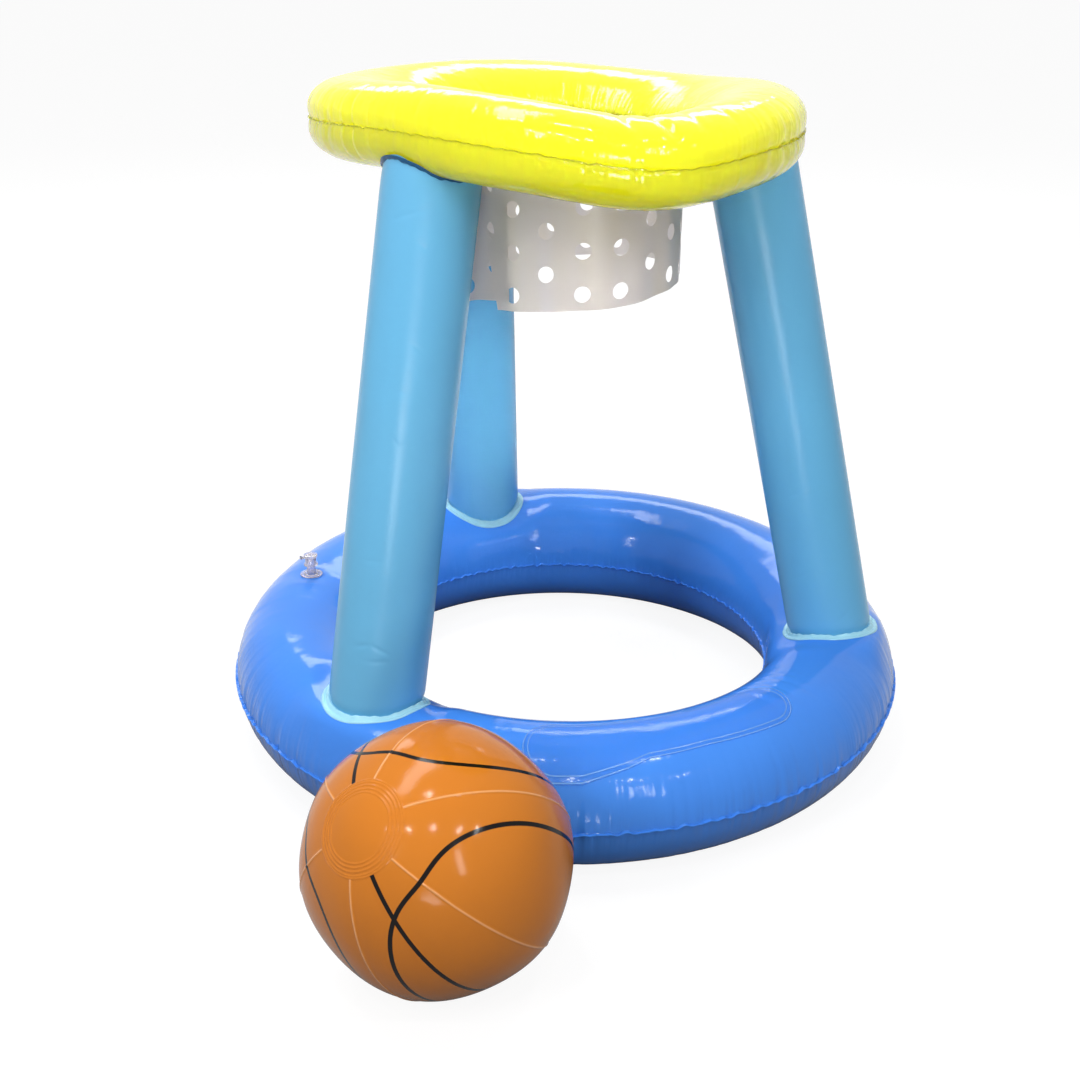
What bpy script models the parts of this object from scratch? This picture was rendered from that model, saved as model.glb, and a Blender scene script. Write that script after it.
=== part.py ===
"""Floating basketball hoop for a pool: a vinyl ring, three legs, a hoop with a film net, and its ball.

Metres, +Z up. The ring and the ball rest on z = 0, and the origin is on that level, under the middle
of the whole set. The ring, the hoop and the ball are blown-up vinyl film, so their skins are modelled
as thin shells at the inflated size. Angles are in degrees, counted from +X towards +Y.
"""
import math

import bmesh
import bpy
from mathutils import Matrix, Vector

# Film and clearances
FILM = 0.0004
GAP = 0.0003
OVERRUN = 0.010
MERGE = 0.00001

# Base ring, at its inflated size
RING_RADIUS = 0.365
RING_HALF_WIDTH = 0.069
RING_HALF_HEIGHT = 0.0665
WELD_WIDTH = 0.003
RING_STEPS = 36
SECTION_STEPS = 9

# Bare window patch welded on the ring's front
PATCH_MIDDLE_RADIUS = 0.312
PATCH_WIDTH = 0.070
PATCH_START = -93
PATCH_END = -45
PATCH_ARC_STEPS = 8
PATCH_END_STEPS = 8

# Hoop: a rounded triangle that droops a little at its sharp corner
HOOP_RADIUS = 0.243
HOOP_HALF_WIDTH = 0.0574
HOOP_HALF_HEIGHT = 0.0390
HOOP_CREST_SHIFT = 0.0153
HOOP_HEIGHT = 0.645
HOOP_SHIFT = (-0.0113, -0.0055)
HOOP_SLOPE_SHARES = (-0.013, -0.043)
HOOP_OVAL_SHARE = 0.069
HOOP_OVAL_TURN = 36
HOOP_LOBE_SHARE = 0.040
HOOP_LOBE_TURN = -71
HOOP_CORNER_SHARE = 0.046
HOOP_CORNER_TURN = -71
HOOP_CORNER_SPREAD = 17
HOOP_LOBE_DROP = 0.0036
HOOP_CORNER_DROP = 0.0076
HOOP_INNER_REACH_SHARE = 0.514
HOOP_INNER_SHIFT = 0.0134

# Legs: feet on the ring, tops under the hoop
LEG_FOOT_TURNS = (-130, -10, 110)
LEG_TOP_TURNS = (-126, 12, 119)
LEG_NAMES = ("front_leg", "right_leg", "back_leg")
LEG_FOOT_RADIUS = 0.0461
LEG_TOP_RADIUS = 0.0446
LEG_NECK_RADIUS = 0.0390
LEG_NECK_LENGTH = 0.050
LEG_TOP_INSET = 0.0485
LEG_STEPS = 20
FOOT_COLLAR_WIDTH = 0.010
TOP_COLLAR_WIDTH = 0.003
COLLAR_LAP = 0.006
AIR_VENT_RADIUS = 0.008

# Net: one strip of film, rolled up and lapped. It stands in for the punched film, without its holes.
NET_DROP = 0.156
NET_LAP = 0.010
NET_LAP_TURN = -116
NET_HEM_SLOPE_SHARES = (0.1075, -0.032)

# Ball: six gores between two end discs, tipped towards the front left. Seen from above, its edge tucks
# over the ring's edge.
BALL_RADIUS = 0.1136
BALL_TURN = -102.482
BALL_TUCK = 0.0002
BALL_AXIS_TURN = -130.4
BALL_AXIS_RISE = 41.3
BALL_SEAM_TURN = -12.5
BALL_GORES = 6
BALL_DISC_RADIUS = 0.0388
BALL_DISC_LAP = 0.0055
GORE_SIDE_STEPS = 4
GORE_LENGTH_STEPS = 10

# Air valves: one pattern for the ring, the hoop and the ball
VALVE_SIDES = 12
VALVE_FLANGE_RADIUS = 0.0125
VALVE_FLANGE_THICKNESS = 0.0008
VALVE_RIM_RADIUS = 0.0080
VALVE_RIM_HEIGHT = 0.0115
VALVE_RIM_THICKNESS = 0.0015
STEM_RADIUS = 0.0050
STEM_BORE_RADIUS = 0.0034
STEM_DEPTH = 0.008
STEM_SKIRT_THICKNESS = 0.0008
NECK_RADIUS = 0.0062
NECK_HEIGHT = 0.0215
CAP_RADIUS = 0.0078
CAP_THICKNESS = 0.0024
PLUG_LENGTH = 0.0045
PLUG_TOP_RADIUS = 0.0031
PLUG_TIP_RADIUS = 0.0025
HINGE_REACH = 0.0115
STRAP_WIDTH = 0.0040
STRAP_THICKNESS = 0.0011
FLAP_RADIUS = 0.0044
FLAP_THICKNESS = 0.0008
BASE_VALVE_TURN = 171
BASE_STRAP_TURN = 200
HOOP_VALVE_TURN = 65
HOOP_STRAP_TURN = -25
BALL_STRAP_TURN = -90

# Colours: red, green, blue; then roughness
RING_BLUE = ((0.040, 0.190, 0.830), 0.20)
LEG_CYAN = ((0.150, 0.430, 0.690), 0.36)
COLLAR_CYAN = ((0.250, 0.640, 0.860), 0.30)
HOOP_YELLOW = ((0.930, 0.900, 0.020), 0.20)
NET_FILM = ((0.580, 0.530, 0.460), 0.30)
CLEAR_VINYL = ((0.300, 0.500, 0.900), 0.15)
VALVE_CLEAR = ((0.720, 0.660, 0.740), 0.20)
BALL_ORANGE = ((0.610, 0.220, 0.030), 0.25)

# Sizes that follow from the ones above
WELD_RISE = GAP / 2 + FILM
SEAT_LIFT = GAP + FILM
LEG_LIFT = GAP + FILM + GAP
RING_CENTRELINE = RING_RADIUS - WELD_WIDTH - RING_HALF_WIDTH
HOOP_CENTRELINE = HOOP_RADIUS - WELD_WIDTH - HOOP_HALF_WIDTH
RING_TUBE = (RING_CENTRELINE, RING_HALF_WIDTH, RING_HALF_HEIGHT, 0)
HOOP_TUBE = (HOOP_CENTRELINE, HOOP_HALF_WIDTH, HOOP_HALF_HEIGHT, HOOP_CREST_SHIFT)
HOOP_INNER_RADIUS = HOOP_CENTRELINE - HOOP_HALF_WIDTH - WELD_WIDTH
NET_RADIUS = HOOP_INNER_RADIUS + WELD_WIDTH / 2
BALL_REACH = RING_RADIUS + BALL_RADIUS - BALL_TUCK
BALL_X = BALL_REACH * math.cos(math.radians(BALL_TURN))
BALL_Y = BALL_REACH * math.sin(math.radians(BALL_TURN))
RING_Y = (BALL_RADIUS - BALL_Y - RING_RADIUS) / 2
VALVE_HOLE_RADIUS = VALVE_RIM_RADIUS + GAP
CAP_SEAT = NECK_HEIGHT + GAP
LUG_FLOOR = NECK_HEIGHT - STRAP_THICKNESS
PUSH_STROKE = LUG_FLOOR - GAP - VALVE_FLANGE_THICKNESS - GAP


def clear_scene():
    for item in list(bpy.data.objects):
        bpy.data.objects.remove(item, do_unlink=True)


def new_collection(name):
    collection = bpy.data.collections.new(name)
    bpy.context.scene.collection.children.link(collection)
    return collection


def make_material(name, finish):
    colour, roughness = finish
    material = bpy.data.materials.new(name)
    material.use_nodes = True
    shader = material.node_tree.nodes["Principled BSDF"]
    shader.inputs["Base Color"].default_value = (*colour, 1)
    shader.inputs["Roughness"].default_value = roughness
    shader.inputs["Metallic"].default_value = 0
    return material


def add_object(name, mesh, finish=None, parent=None):
    """A part with a material, or a cutter when it has no finish."""
    item = bpy.data.objects.new(name, mesh)
    if finish is None:
        CUTTERS.objects.link(item)
        item.hide_render = True
        item.display_type = "WIRE"
    else:
        PARTS.objects.link(item)
        mesh.materials.append(make_material(name, finish))
    item.parent = parent
    return item


def add_frame(name, matrix, parent=None):
    frame = bpy.data.objects.new(name, None)
    PARTS.objects.link(frame)
    frame.parent = parent
    frame.matrix_local = matrix
    return frame


def to_mesh(bm, name):
    mesh = bpy.data.meshes.new(name)
    bm.to_mesh(mesh)
    bm.free()
    return mesh


def smooth(item):
    item.data.shade_smooth()
    item.data.set_sharp_from_angle(angle=math.radians(40))


def turned(name, profile, steps, finish=None, parent=None, closed=True, sweep=360):
    """A profile of (radius, height) points swept round Z with a Screw modifier."""
    bm = bmesh.new()
    points = [bm.verts.new((radius, 0, height)) for radius, height in profile]
    for first, second in zip(points, points[1:]):
        bm.edges.new((first, second))
    if closed:
        bm.edges.new((points[-1], points[0]))
    item = add_object(name, to_mesh(bm, name), finish, parent)
    screw = item.modifiers.new("Turn", "SCREW")
    screw.axis = "Z"
    screw.angle = math.radians(sweep)
    screw.steps = steps
    screw.render_steps = steps
    screw.use_merge_vertices = True
    screw.merge_threshold = MERGE
    screw.use_smooth_shade = True
    return item


def bake(item):
    """Replace an object's mesh by its evaluated shape."""
    bpy.context.view_layer.update()
    evaluated = item.evaluated_get(bpy.context.evaluated_depsgraph_get())
    mesh = bpy.data.meshes.new_from_object(evaluated)
    item.modifiers.clear()
    item.data = mesh
    return item


def combine(item, cutter, operation="DIFFERENCE"):
    modifier = item.modifiers.new(operation.title(), "BOOLEAN")
    modifier.operation = operation
    modifier.object = cutter
    return item


def cylinder(name, radius, low, high, sides, frame, finish=None):
    """A cylinder from height low to height high, in the given frame."""
    bm = bmesh.new()
    bmesh.ops.create_cone(
        bm,
        cap_ends=True,
        segments=sides,
        radius1=radius,
        radius2=radius,
        depth=high - low,
        matrix=Matrix.Translation((0, 0, (low + high) / 2)),
    )
    item = add_object(name, to_mesh(bm, name), finish)
    item.matrix_world = frame
    return item


def section_angles(tube):
    """Angles along the upper half of a tube's section, from the outer weld to the inner one."""
    start = math.asin(WELD_RISE / tube[2])
    stride = (math.pi - 2 * start) / SECTION_STEPS
    return [start + stride * index for index in range(SECTION_STEPS + 1)]


def section_arc(tube, grow):
    """Half an oval whose highest line stands off its middle by the crest shift."""
    middle, half_width, half_height, crest_shift = tube
    points = []
    for angle in section_angles(tube):
        radius = middle + (half_width + grow) * math.cos(angle) + crest_shift * math.sin(angle)
        points.append((radius, (half_height + grow) * math.sin(angle)))
    return points


def skin_profile(tube):
    """The upper film in section: its bulge, with a flat weld lip at each edge."""
    outer = section_arc(tube, 0)
    inner = section_arc(tube, -FILM)
    inner[0] = (inner[0][0], GAP / 2)
    inner[-1] = (inner[-1][0], GAP / 2)
    inner_edge = tube[0] - tube[1] - WELD_WIDTH
    outer_edge = tube[0] + tube[1] + WELD_WIDTH
    lip = [(inner_edge, GAP / 2), (inner_edge, WELD_RISE)]
    rim = [(outer_edge, WELD_RISE), (outer_edge, GAP / 2)]
    return lip + outer[::-1] + rim + inner


def flipped(profile):
    return [(radius, -height) for radius, height in profile[::-1]]


def block_profile(tube, grow):
    """The whole section of the tube, grown on all sides."""
    upper = section_arc(tube, grow)[::-1]
    return upper + flipped(upper)


def section_floor(tube):
    return max(height for _, height in section_arc(tube, 0))


def hoop_reach(angle):
    """How far the hoop's outer weld stands out from the plain circle, at an angle in radians."""
    oval = HOOP_OVAL_SHARE * math.cos(2 * (angle - math.radians(HOOP_OVAL_TURN)))
    lobe = HOOP_LOBE_SHARE * math.cos(3 * (angle - math.radians(HOOP_LOBE_TURN)))
    corner = HOOP_CORNER_SHARE * corner_share(angle)
    return HOOP_RADIUS * (lobe + corner - oval)


def corner_share(angle):
    away = math.remainder(angle - math.radians(HOOP_CORNER_TURN), math.tau)
    return math.exp(-((away / math.radians(HOOP_CORNER_SPREAD)) ** 2))


def hoop_lift(angle):
    lobe = math.cos(3 * (angle - math.radians(HOOP_LOBE_TURN)))
    return -HOOP_LOBE_DROP * lobe - HOOP_CORNER_DROP * corner_share(angle)


def bend_to_hoop(point):
    """Move a point of the plain round hoop to the hoop's real outline."""
    angle = math.atan2(point.y, point.x)
    plain = math.hypot(point.x, point.y)
    inward = (HOOP_RADIUS - plain) / (HOOP_RADIUS - HOOP_INNER_RADIUS)
    reach = hoop_reach(angle) * (1 - (1 - HOOP_INNER_REACH_SHARE) * inward)
    radius = plain + reach - HOOP_INNER_SHIFT * inward * math.sin(angle)
    x = radius * math.cos(angle)
    y = radius * math.sin(angle)
    slope = x * HOOP_SLOPE_SHARES[0] + y * HOOP_SLOPE_SHARES[1]
    return Vector((x, y, point.z + hoop_lift(angle) + slope))


def bent_hoop_piece(name, profile, finish=None):
    item = bake(turned(name, profile, RING_STEPS, finish, HOOP_FRAME))
    for vertex in item.data.vertices:
        vertex.co = bend_to_hoop(vertex.co)
    bm = bmesh.new()
    bm.from_mesh(item.data)
    bmesh.ops.triangulate(bm, faces=bm.faces, quad_method="FIXED")
    bm.to_mesh(item.data)
    bm.free()
    return item


def ring_point(turn, height=0):
    angle = math.radians(turn)
    local = Vector((RING_CENTRELINE * math.cos(angle), RING_CENTRELINE * math.sin(angle), height))
    return RING_FRAME.matrix_world @ local


def plain_point(angle, radius, height=0):
    return Vector((radius * math.cos(angle), radius * math.sin(angle), height))


def hoop_point(turn, height=0, out=0):
    """A point under the hoop's crest, or out from it."""
    plain = plain_point(math.radians(turn), HOOP_CENTRELINE + HOOP_CREST_SHIFT + out, height)
    return HOOP_FRAME.matrix_world @ bend_to_hoop(plain)


def leg_top_point(turn):
    """Where a leg's axis ends, inside the hoop's outer weld."""
    angle = math.radians(turn)
    rim = bend_to_hoop(plain_point(angle, HOOP_RADIUS))
    return HOOP_FRAME.matrix_world @ (rim - plain_point(angle, LEG_TOP_INSET))


def frame_between(start, end):
    """A frame at start whose +Z points to end."""
    return Matrix.Translation(start) @ (end - start).to_track_quat("Z", "Y").to_matrix().to_4x4()


def make_ring():
    top = turned("base_ring_top_skin", skin_profile(RING_TUBE), RING_STEPS, RING_BLUE, RING_FRAME)
    bottom = turned(
        "base_ring_bottom_skin", flipped(skin_profile(RING_TUBE)), RING_STEPS, RING_BLUE, RING_FRAME
    )
    return top, bottom


def make_blocks():
    """Grown copies of the ring and the hoop, for cutting what lies on them."""
    blocks = {}
    for grow_name, grow in (("under", GAP), ("over", SEAT_LIFT), ("leg", LEG_LIFT)):
        ring = turned(
            "ring_block_" + grow_name, block_profile(RING_TUBE, grow), RING_STEPS, None, RING_FRAME
        )
        hoop = bent_hoop_piece("hoop_block_" + grow_name, block_profile(HOOP_TUBE, grow))
        blocks[grow_name] = (ring, hoop)
    return blocks


def patch_outline():
    """A band along the ring with round ends, seen from above."""
    half = PATCH_WIDTH / 2
    start, end = math.radians(PATCH_START), math.radians(PATCH_END)
    points = []
    for side, first, last in ((half, start, end), (-half, end, start)):
        for index in range(PATCH_ARC_STEPS + 1):
            angle = first + (last - first) * index / PATCH_ARC_STEPS
            radius = PATCH_MIDDLE_RADIUS + side
            points.append((radius * math.cos(angle), radius * math.sin(angle)))
        centre = (PATCH_MIDDLE_RADIUS * math.cos(last), PATCH_MIDDLE_RADIUS * math.sin(last))
        turn = last if side > 0 else last + math.pi
        for index in range(1, PATCH_END_STEPS):
            angle = turn + math.pi * index / PATCH_END_STEPS
            points.append((centre[0] + half * math.cos(angle), centre[1] + half * math.sin(angle)))
    return points


def make_patch(blocks):
    bm = bmesh.new()
    outline = [bm.verts.new((x, y, 0)) for x, y in patch_outline()]
    face = bm.faces.new(outline)
    raised = bmesh.ops.extrude_face_region(bm, geom=[face])["geom"]
    corners = [item for item in raised if isinstance(item, bmesh.types.BMVert)]
    bmesh.ops.translate(bm, verts=corners, vec=(0, 0, RING_HALF_HEIGHT + OVERRUN))
    bmesh.ops.recalc_face_normals(bm, faces=bm.faces)
    patch = add_object("window_patch", to_mesh(bm, "window_patch"), CLEAR_VINYL, RING_FRAME)
    combine(patch, blocks["over"][0], "INTERSECT")
    combine(patch, blocks["under"][0])


def make_collar(name, frame, radius, start, reach, hole_radius, block_over, block_under):
    collar = cylinder(name, radius, start, reach, LEG_STEPS, frame, COLLAR_CYAN)
    hole = cylinder(name + "_hole", hole_radius, -OVERRUN, reach + OVERRUN, LEG_STEPS, frame)
    combine(collar, block_over, "INTERSECT")
    combine(collar, block_under)
    combine(collar, hole)


def leg_profile(length, inset):
    """The leg's wall from top to foot, moved in by inset."""
    return [
        (LEG_NECK_RADIUS - inset, length),
        (LEG_NECK_RADIUS - inset, length - LEG_NECK_LENGTH / 2),
        (LEG_TOP_RADIUS - inset, length - LEG_NECK_LENGTH),
        (LEG_FOOT_RADIUS - inset, 0),
    ]


def make_leg(name, foot_turn, top_turn, blocks, hoop_bottom):
    foot, top = ring_point(foot_turn), leg_top_point(top_turn)
    length = (top - foot).length
    rising, falling = frame_between(foot, top), frame_between(top, foot)
    leg = turned(name, leg_profile(length, 0) + leg_profile(length, FILM)[::-1], LEG_STEPS, LEG_CYAN)
    leg.matrix_world = rising
    combine(leg, blocks["leg"][0])
    combine(leg, blocks["leg"][1])
    reach = length / 2
    make_collar(
        name + "_foot_collar",
        rising,
        LEG_FOOT_RADIUS + FOOT_COLLAR_WIDTH,
        RING_HALF_HEIGHT / 4,
        reach,
        LEG_FOOT_RADIUS - COLLAR_LAP,
        blocks["over"][0],
        blocks["under"][0],
    )
    make_collar(
        name + "_top_collar",
        falling,
        LEG_NECK_RADIUS + TOP_COLLAR_WIDTH,
        HOOP_HALF_HEIGHT / 4,
        reach,
        LEG_NECK_RADIUS - COLLAR_LAP,
        blocks["over"][1],
        blocks["under"][1],
    )
    vent = cylinder(name + "_vent", AIR_VENT_RADIUS, 0, reach, VALVE_SIDES, falling)
    combine(hoop_bottom, vent)


def net_rim(angle):
    """The middle of the hoop's inner weld at an angle in radians, on the hoop's own facets."""
    stride = math.tau / RING_STEPS
    first = math.floor(angle / stride) * stride
    ends = [bend_to_hoop(plain_point(side, NET_RADIUS)) for side in (first, first + stride)]
    return ends[0].lerp(ends[1], (angle - first) / stride)


def net_arc_table():
    """The rolled net's length from the lap to each degree round the hoop's inner weld."""
    lengths = [0]
    for degree in range(360):
        first, second = (net_rim(math.radians(NET_LAP_TURN + step)) for step in (degree, degree + 1))
        lengths.append(lengths[-1] + (second - first).xy.length)
    return lengths


def net_angle(distance, lengths):
    """The angle, in radians, at a length along the strip."""
    whole = lengths[-1]
    wraps, rest = divmod(distance, whole)
    degree = max(index for index, length in enumerate(lengths[:-1]) if length <= rest)
    part = (rest - lengths[degree]) / (lengths[degree + 1] - lengths[degree])
    return math.radians(NET_LAP_TURN + 360 * wraps + degree + part)


def net_creases(lengths, strip):
    """The lengths along the strip where it turns with the hoop's facets."""
    creases = []
    for index in range(RING_STEPS):
        degree = (360 / RING_STEPS * index - NET_LAP_TURN) % 360
        whole = math.floor(degree)
        place = lengths[whole] + (lengths[whole + 1] - lengths[whole]) * (degree - whole)
        creases += [place, place + lengths[-1]]
    return [place for place in creases if MERGE < place < strip - MERGE]


def make_net():
    """A strip rolled under the hoop's inner weld, its end lapped outside its start."""
    lengths = net_arc_table()
    strip = lengths[-1] + NET_LAP
    bm = bmesh.new()
    bmesh.ops.create_grid(
        bm,
        x_segments=1,
        y_segments=1,
        size=1 / 2,
        matrix=Matrix.Translation((strip / 2, -FILM / 2, NET_DROP / 2))
        @ Matrix.Rotation(math.pi / 2, 4, "X")
        @ Matrix.Diagonal((strip, NET_DROP, 1, 1)),
    )
    raised = bmesh.ops.extrude_face_region(bm, geom=bm.faces[:])["geom"]
    corners = [item for item in raised if isinstance(item, bmesh.types.BMVert)]
    bmesh.ops.translate(bm, verts=corners, vec=(0, FILM, 0))
    for place in net_creases(lengths, strip):
        whole = bm.verts[:] + bm.edges[:] + bm.faces[:]
        bmesh.ops.bisect_plane(bm, geom=whole, plane_co=(place, 0, 0), plane_no=(1, 0, 0))
    bmesh.ops.triangulate(bm, faces=bm.faces)
    for vertex in bm.verts:
        vertex.co = rolled_point(vertex.co, lengths, strip)
    bmesh.ops.recalc_face_normals(bm, faces=bm.faces)
    add_object("net", to_mesh(bm, "net"), NET_FILM, HOOP_FRAME)


def rolled_point(flat, lengths, strip):
    """Where a point of the flat strip comes to lie."""
    angle = net_angle(min(max(flat.x, 0), strip), lengths)
    spiral = (flat.x / strip - 1 / 2) * (FILM + GAP) * strip / lengths[-1]
    rim = net_rim(angle)
    place = rim + plain_point(angle, spiral - flat.y)
    hem_slope = place.x * NET_HEM_SLOPE_SHARES[0] + place.y * NET_HEM_SLOPE_SHARES[1]
    top = rim.z - WELD_RISE - GAP
    place.z = top if flat.z > NET_DROP / 2 else hem_slope - NET_DROP
    return place


def make_hoop():
    top = bent_hoop_piece("hoop_top_skin", skin_profile(HOOP_TUBE), HOOP_YELLOW)
    bottom = bent_hoop_piece("hoop_bottom_skin", flipped(skin_profile(HOOP_TUBE)), HOOP_YELLOW)
    return top, bottom


def polar_point(radius, polar):
    return (radius * math.sin(polar), radius * math.cos(polar))


def make_gores():
    """Six strips of film, each with its two sides a gap apart from the next."""
    start = math.asin((BALL_DISC_RADIUS - BALL_DISC_LAP) / BALL_RADIUS)
    stride = (math.pi - 2 * start) / GORE_LENGTH_STEPS
    arc = [polar_point(BALL_RADIUS, start + stride * index) for index in range(GORE_LENGTH_STEPS + 1)]
    gap_angle = math.degrees(GAP / BALL_RADIUS)
    sweep = 360 / BALL_GORES - gap_angle
    for index in range(BALL_GORES):
        gore = turned(
            f"ball_gore_{index + 1}", arc, GORE_SIDE_STEPS, BALL_ORANGE, BALL_FRAME, False, sweep
        )
        gore.rotation_euler.z = math.radians(BALL_SEAM_TURN + gap_angle / 2 + 360 / BALL_GORES * index)
        shell = gore.modifiers.new("Film", "SOLIDIFY")
        shell.thickness = FILM
        shell.offset = -1
        shell.use_even_offset = True


def disc_profile(hole_radius):
    """A cap of film on the ball's end: down its outer side, then back along the inner one."""
    inner_radius = BALL_RADIUS + GAP
    outer_radius = inner_radius + FILM
    edge = math.asin(BALL_DISC_RADIUS / outer_radius)
    lap = math.asin((BALL_DISC_RADIUS - BALL_DISC_LAP) / BALL_RADIUS)
    hole = math.asin(hole_radius / outer_radius)
    polars = [hole, (hole + lap) / 2, lap, edge]
    outside = [polar_point(outer_radius, polar) for polar in polars]
    inside = [polar_point(inner_radius, polar) for polar in polars[::-1]]
    return outside + inside


def make_discs():
    steps = BALL_GORES * GORE_SIDE_STEPS
    front = turned("ball_front_disc", disc_profile(0), steps, BALL_ORANGE, BALL_FRAME, False)
    front.rotation_euler.z = math.radians(BALL_SEAM_TURN)
    valve_end = turned(
        "ball_valve_disc", disc_profile(VALVE_HOLE_RADIUS), steps, BALL_ORANGE, BALL_FRAME
    )
    valve_end.rotation_euler = (math.pi, 0, math.radians(BALL_SEAM_TURN))


def make_bar(name, reach, floor, seat_radius, finish, parent):
    """A flat strap that runs from inside the round piece at seat_radius out to the hinge line."""
    bm = bmesh.new()
    bmesh.ops.create_cube(bm, size=1)
    length = reach - seat_radius
    bmesh.ops.scale(bm, verts=bm.verts, vec=(length, STRAP_WIDTH, STRAP_THICKNESS))
    middle = (seat_radius + length / 2, 0, floor + STRAP_THICKNESS / 2)
    bmesh.ops.translate(bm, verts=bm.verts, vec=middle)
    return add_object(name, to_mesh(bm, name), finish, parent)


def stem_profile():
    return [
        (NECK_RADIUS, NECK_HEIGHT),
        (NECK_RADIUS, VALVE_RIM_HEIGHT + VALVE_RIM_THICKNESS),
        (VALVE_RIM_RADIUS, VALVE_RIM_HEIGHT + VALVE_RIM_THICKNESS),
        (VALVE_RIM_RADIUS, VALVE_RIM_HEIGHT),
        (STEM_RADIUS, VALVE_RIM_HEIGHT),
        (STEM_RADIUS, STEM_SKIRT_THICKNESS),
        (VALVE_RIM_RADIUS, STEM_SKIRT_THICKNESS),
        (VALVE_RIM_RADIUS, 0),
        (STEM_RADIUS, 0),
        (STEM_RADIUS, -STEM_DEPTH),
        (STEM_BORE_RADIUS, -STEM_DEPTH),
        (STEM_BORE_RADIUS, NECK_HEIGHT),
    ]


def make_valve(name, frame, pushed):
    """A flange on the film, a push-in stem, a stopper on its strap, and the flap that holds the air."""
    sides = VALVE_SIDES
    flange_profile = [
        (VALVE_FLANGE_RADIUS, VALVE_FLANGE_THICKNESS),
        (VALVE_FLANGE_RADIUS, 0),
        (VALVE_HOLE_RADIUS, 0),
        (VALVE_HOLE_RADIUS, VALVE_FLANGE_THICKNESS),
    ]
    turned(name + "_flange", flange_profile, sides, VALVE_CLEAR, frame)
    travel = -PUSH_STROKE if pushed else 0
    slide = add_frame(name + "_slide", Matrix.Translation((0, 0, travel)), frame)
    stem = turned(name + "_stem", stem_profile(), sides, VALVE_CLEAR, slide)
    neck_middle = (NECK_RADIUS + STEM_BORE_RADIUS) / 2
    lug = make_bar(name + "_lug", HINGE_REACH, LUG_FLOOR, neck_middle, None, slide)
    combine(stem, lug, "UNION")

    hinge = add_frame(name + "_hinge", Matrix.Translation((HINGE_REACH, 0, CAP_SEAT)), slide)
    cap_profile = [
        (0, CAP_SEAT + CAP_THICKNESS),
        (CAP_RADIUS, CAP_SEAT + CAP_THICKNESS),
        (CAP_RADIUS, CAP_SEAT),
        (PLUG_TOP_RADIUS, CAP_SEAT),
        (PLUG_TIP_RADIUS, CAP_SEAT - PLUG_LENGTH),
        (0, CAP_SEAT - PLUG_LENGTH),
    ]
    stopper = turned(name + "_stopper", cap_profile, sides, VALVE_CLEAR, slide, closed=False)
    strap = make_bar(name + "_strap", HINGE_REACH, CAP_SEAT, CAP_RADIUS / 2, None, slide)
    combine(stopper, strap, "UNION")
    move_origin(stopper, hinge)

    flap_floor = -STEM_DEPTH - GAP - FLAP_THICKNESS
    flap_hinge = add_frame(
        name + "_flap_hinge", Matrix.Translation((STEM_RADIUS, 0, flap_floor)), slide
    )
    flap_profile = [
        (0, flap_floor + FLAP_THICKNESS),
        (FLAP_RADIUS, flap_floor + FLAP_THICKNESS),
        (FLAP_RADIUS, flap_floor),
        (0, flap_floor),
    ]
    flap = turned(name + "_flap", flap_profile, sides, VALVE_CLEAR, slide, closed=False)
    move_origin(flap, flap_hinge)


def move_origin(item, pivot):
    """Give a baked piece its origin at a pivot that shares its parent, without moving it."""
    bake(item)
    shift = pivot.matrix_local.translation
    item.data.transform(Matrix.Translation(-shift))
    item.location = shift


def turned_frame(name, matrix, turn):
    return add_frame(name, matrix @ Matrix.Rotation(math.radians(turn), 4, "Z"))


def base_valve_frame():
    seat = ring_point(BASE_VALVE_TURN, section_floor(RING_TUBE) + GAP)
    return turned_frame("base_valve_frame", Matrix.Translation(seat), BASE_STRAP_TURN)


def hoop_valve_frame():
    """Under the hoop's back, square to the facet that carries the flange."""
    stride = 360 / RING_STEPS / 2
    floor = -section_floor(HOOP_TUBE)
    ends = [hoop_point(HOOP_VALVE_TURN + side * stride, floor) for side in (-1, 1)]
    edges = [hoop_point(HOOP_VALVE_TURN, floor, side * VALVE_FLANGE_RADIUS) for side in (-1, 1)]
    out = (ends[1] - ends[0]).cross(edges[1] - edges[0]).normalized()
    seat = (ends[0] + ends[1]) / 2 + out * GAP
    matrix = Matrix.Translation(seat) @ out.to_track_quat("Z", "Y").to_matrix().to_4x4()
    return turned_frame("hoop_valve_frame", matrix, HOOP_STRAP_TURN)


def ball_valve_frame():
    height = BALL_RADIUS + GAP + FILM + GAP
    matrix = BALL_FRAME.matrix_world @ Matrix.Rotation(math.pi, 4, "X") @ Matrix.Translation((0, 0, height))
    return turned_frame("ball_valve_frame", matrix, BALL_STRAP_TURN)


def valve_hole(name, frame, item):
    depth = VALVE_FLANGE_RADIUS
    hole = cylinder(name, VALVE_HOLE_RADIUS, -depth, depth, VALVE_SIDES, frame.matrix_local)
    combine(item, hole)


def ball_matrix():
    turn = Matrix.Rotation(math.radians(BALL_AXIS_TURN), 4, "Z")
    tip = Matrix.Rotation(math.radians(90 - BALL_AXIS_RISE), 4, "Y")
    spin = Matrix.Rotation(math.radians(90), 4, "Z")
    centre = (BALL_X, RING_Y + BALL_Y, BALL_RADIUS)
    return Matrix.Translation(centre) @ turn @ tip @ spin


def smooth_all():
    for item in PARTS.objects:
        if item.type == "MESH":
            smooth(item)


clear_scene()
PARTS = new_collection("floating_basketball_hoop")
CUTTERS = new_collection("cutters")
RING_FRAME = add_frame("ring_frame", Matrix.Translation((0, RING_Y, section_floor(RING_TUBE))))
HOOP_FRAME = add_frame(
    "hoop_frame", Matrix.Translation((HOOP_SHIFT[0], RING_Y + HOOP_SHIFT[1], HOOP_HEIGHT))
)
BALL_FRAME = add_frame("ball_frame", ball_matrix())
bpy.context.view_layer.update()

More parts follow.
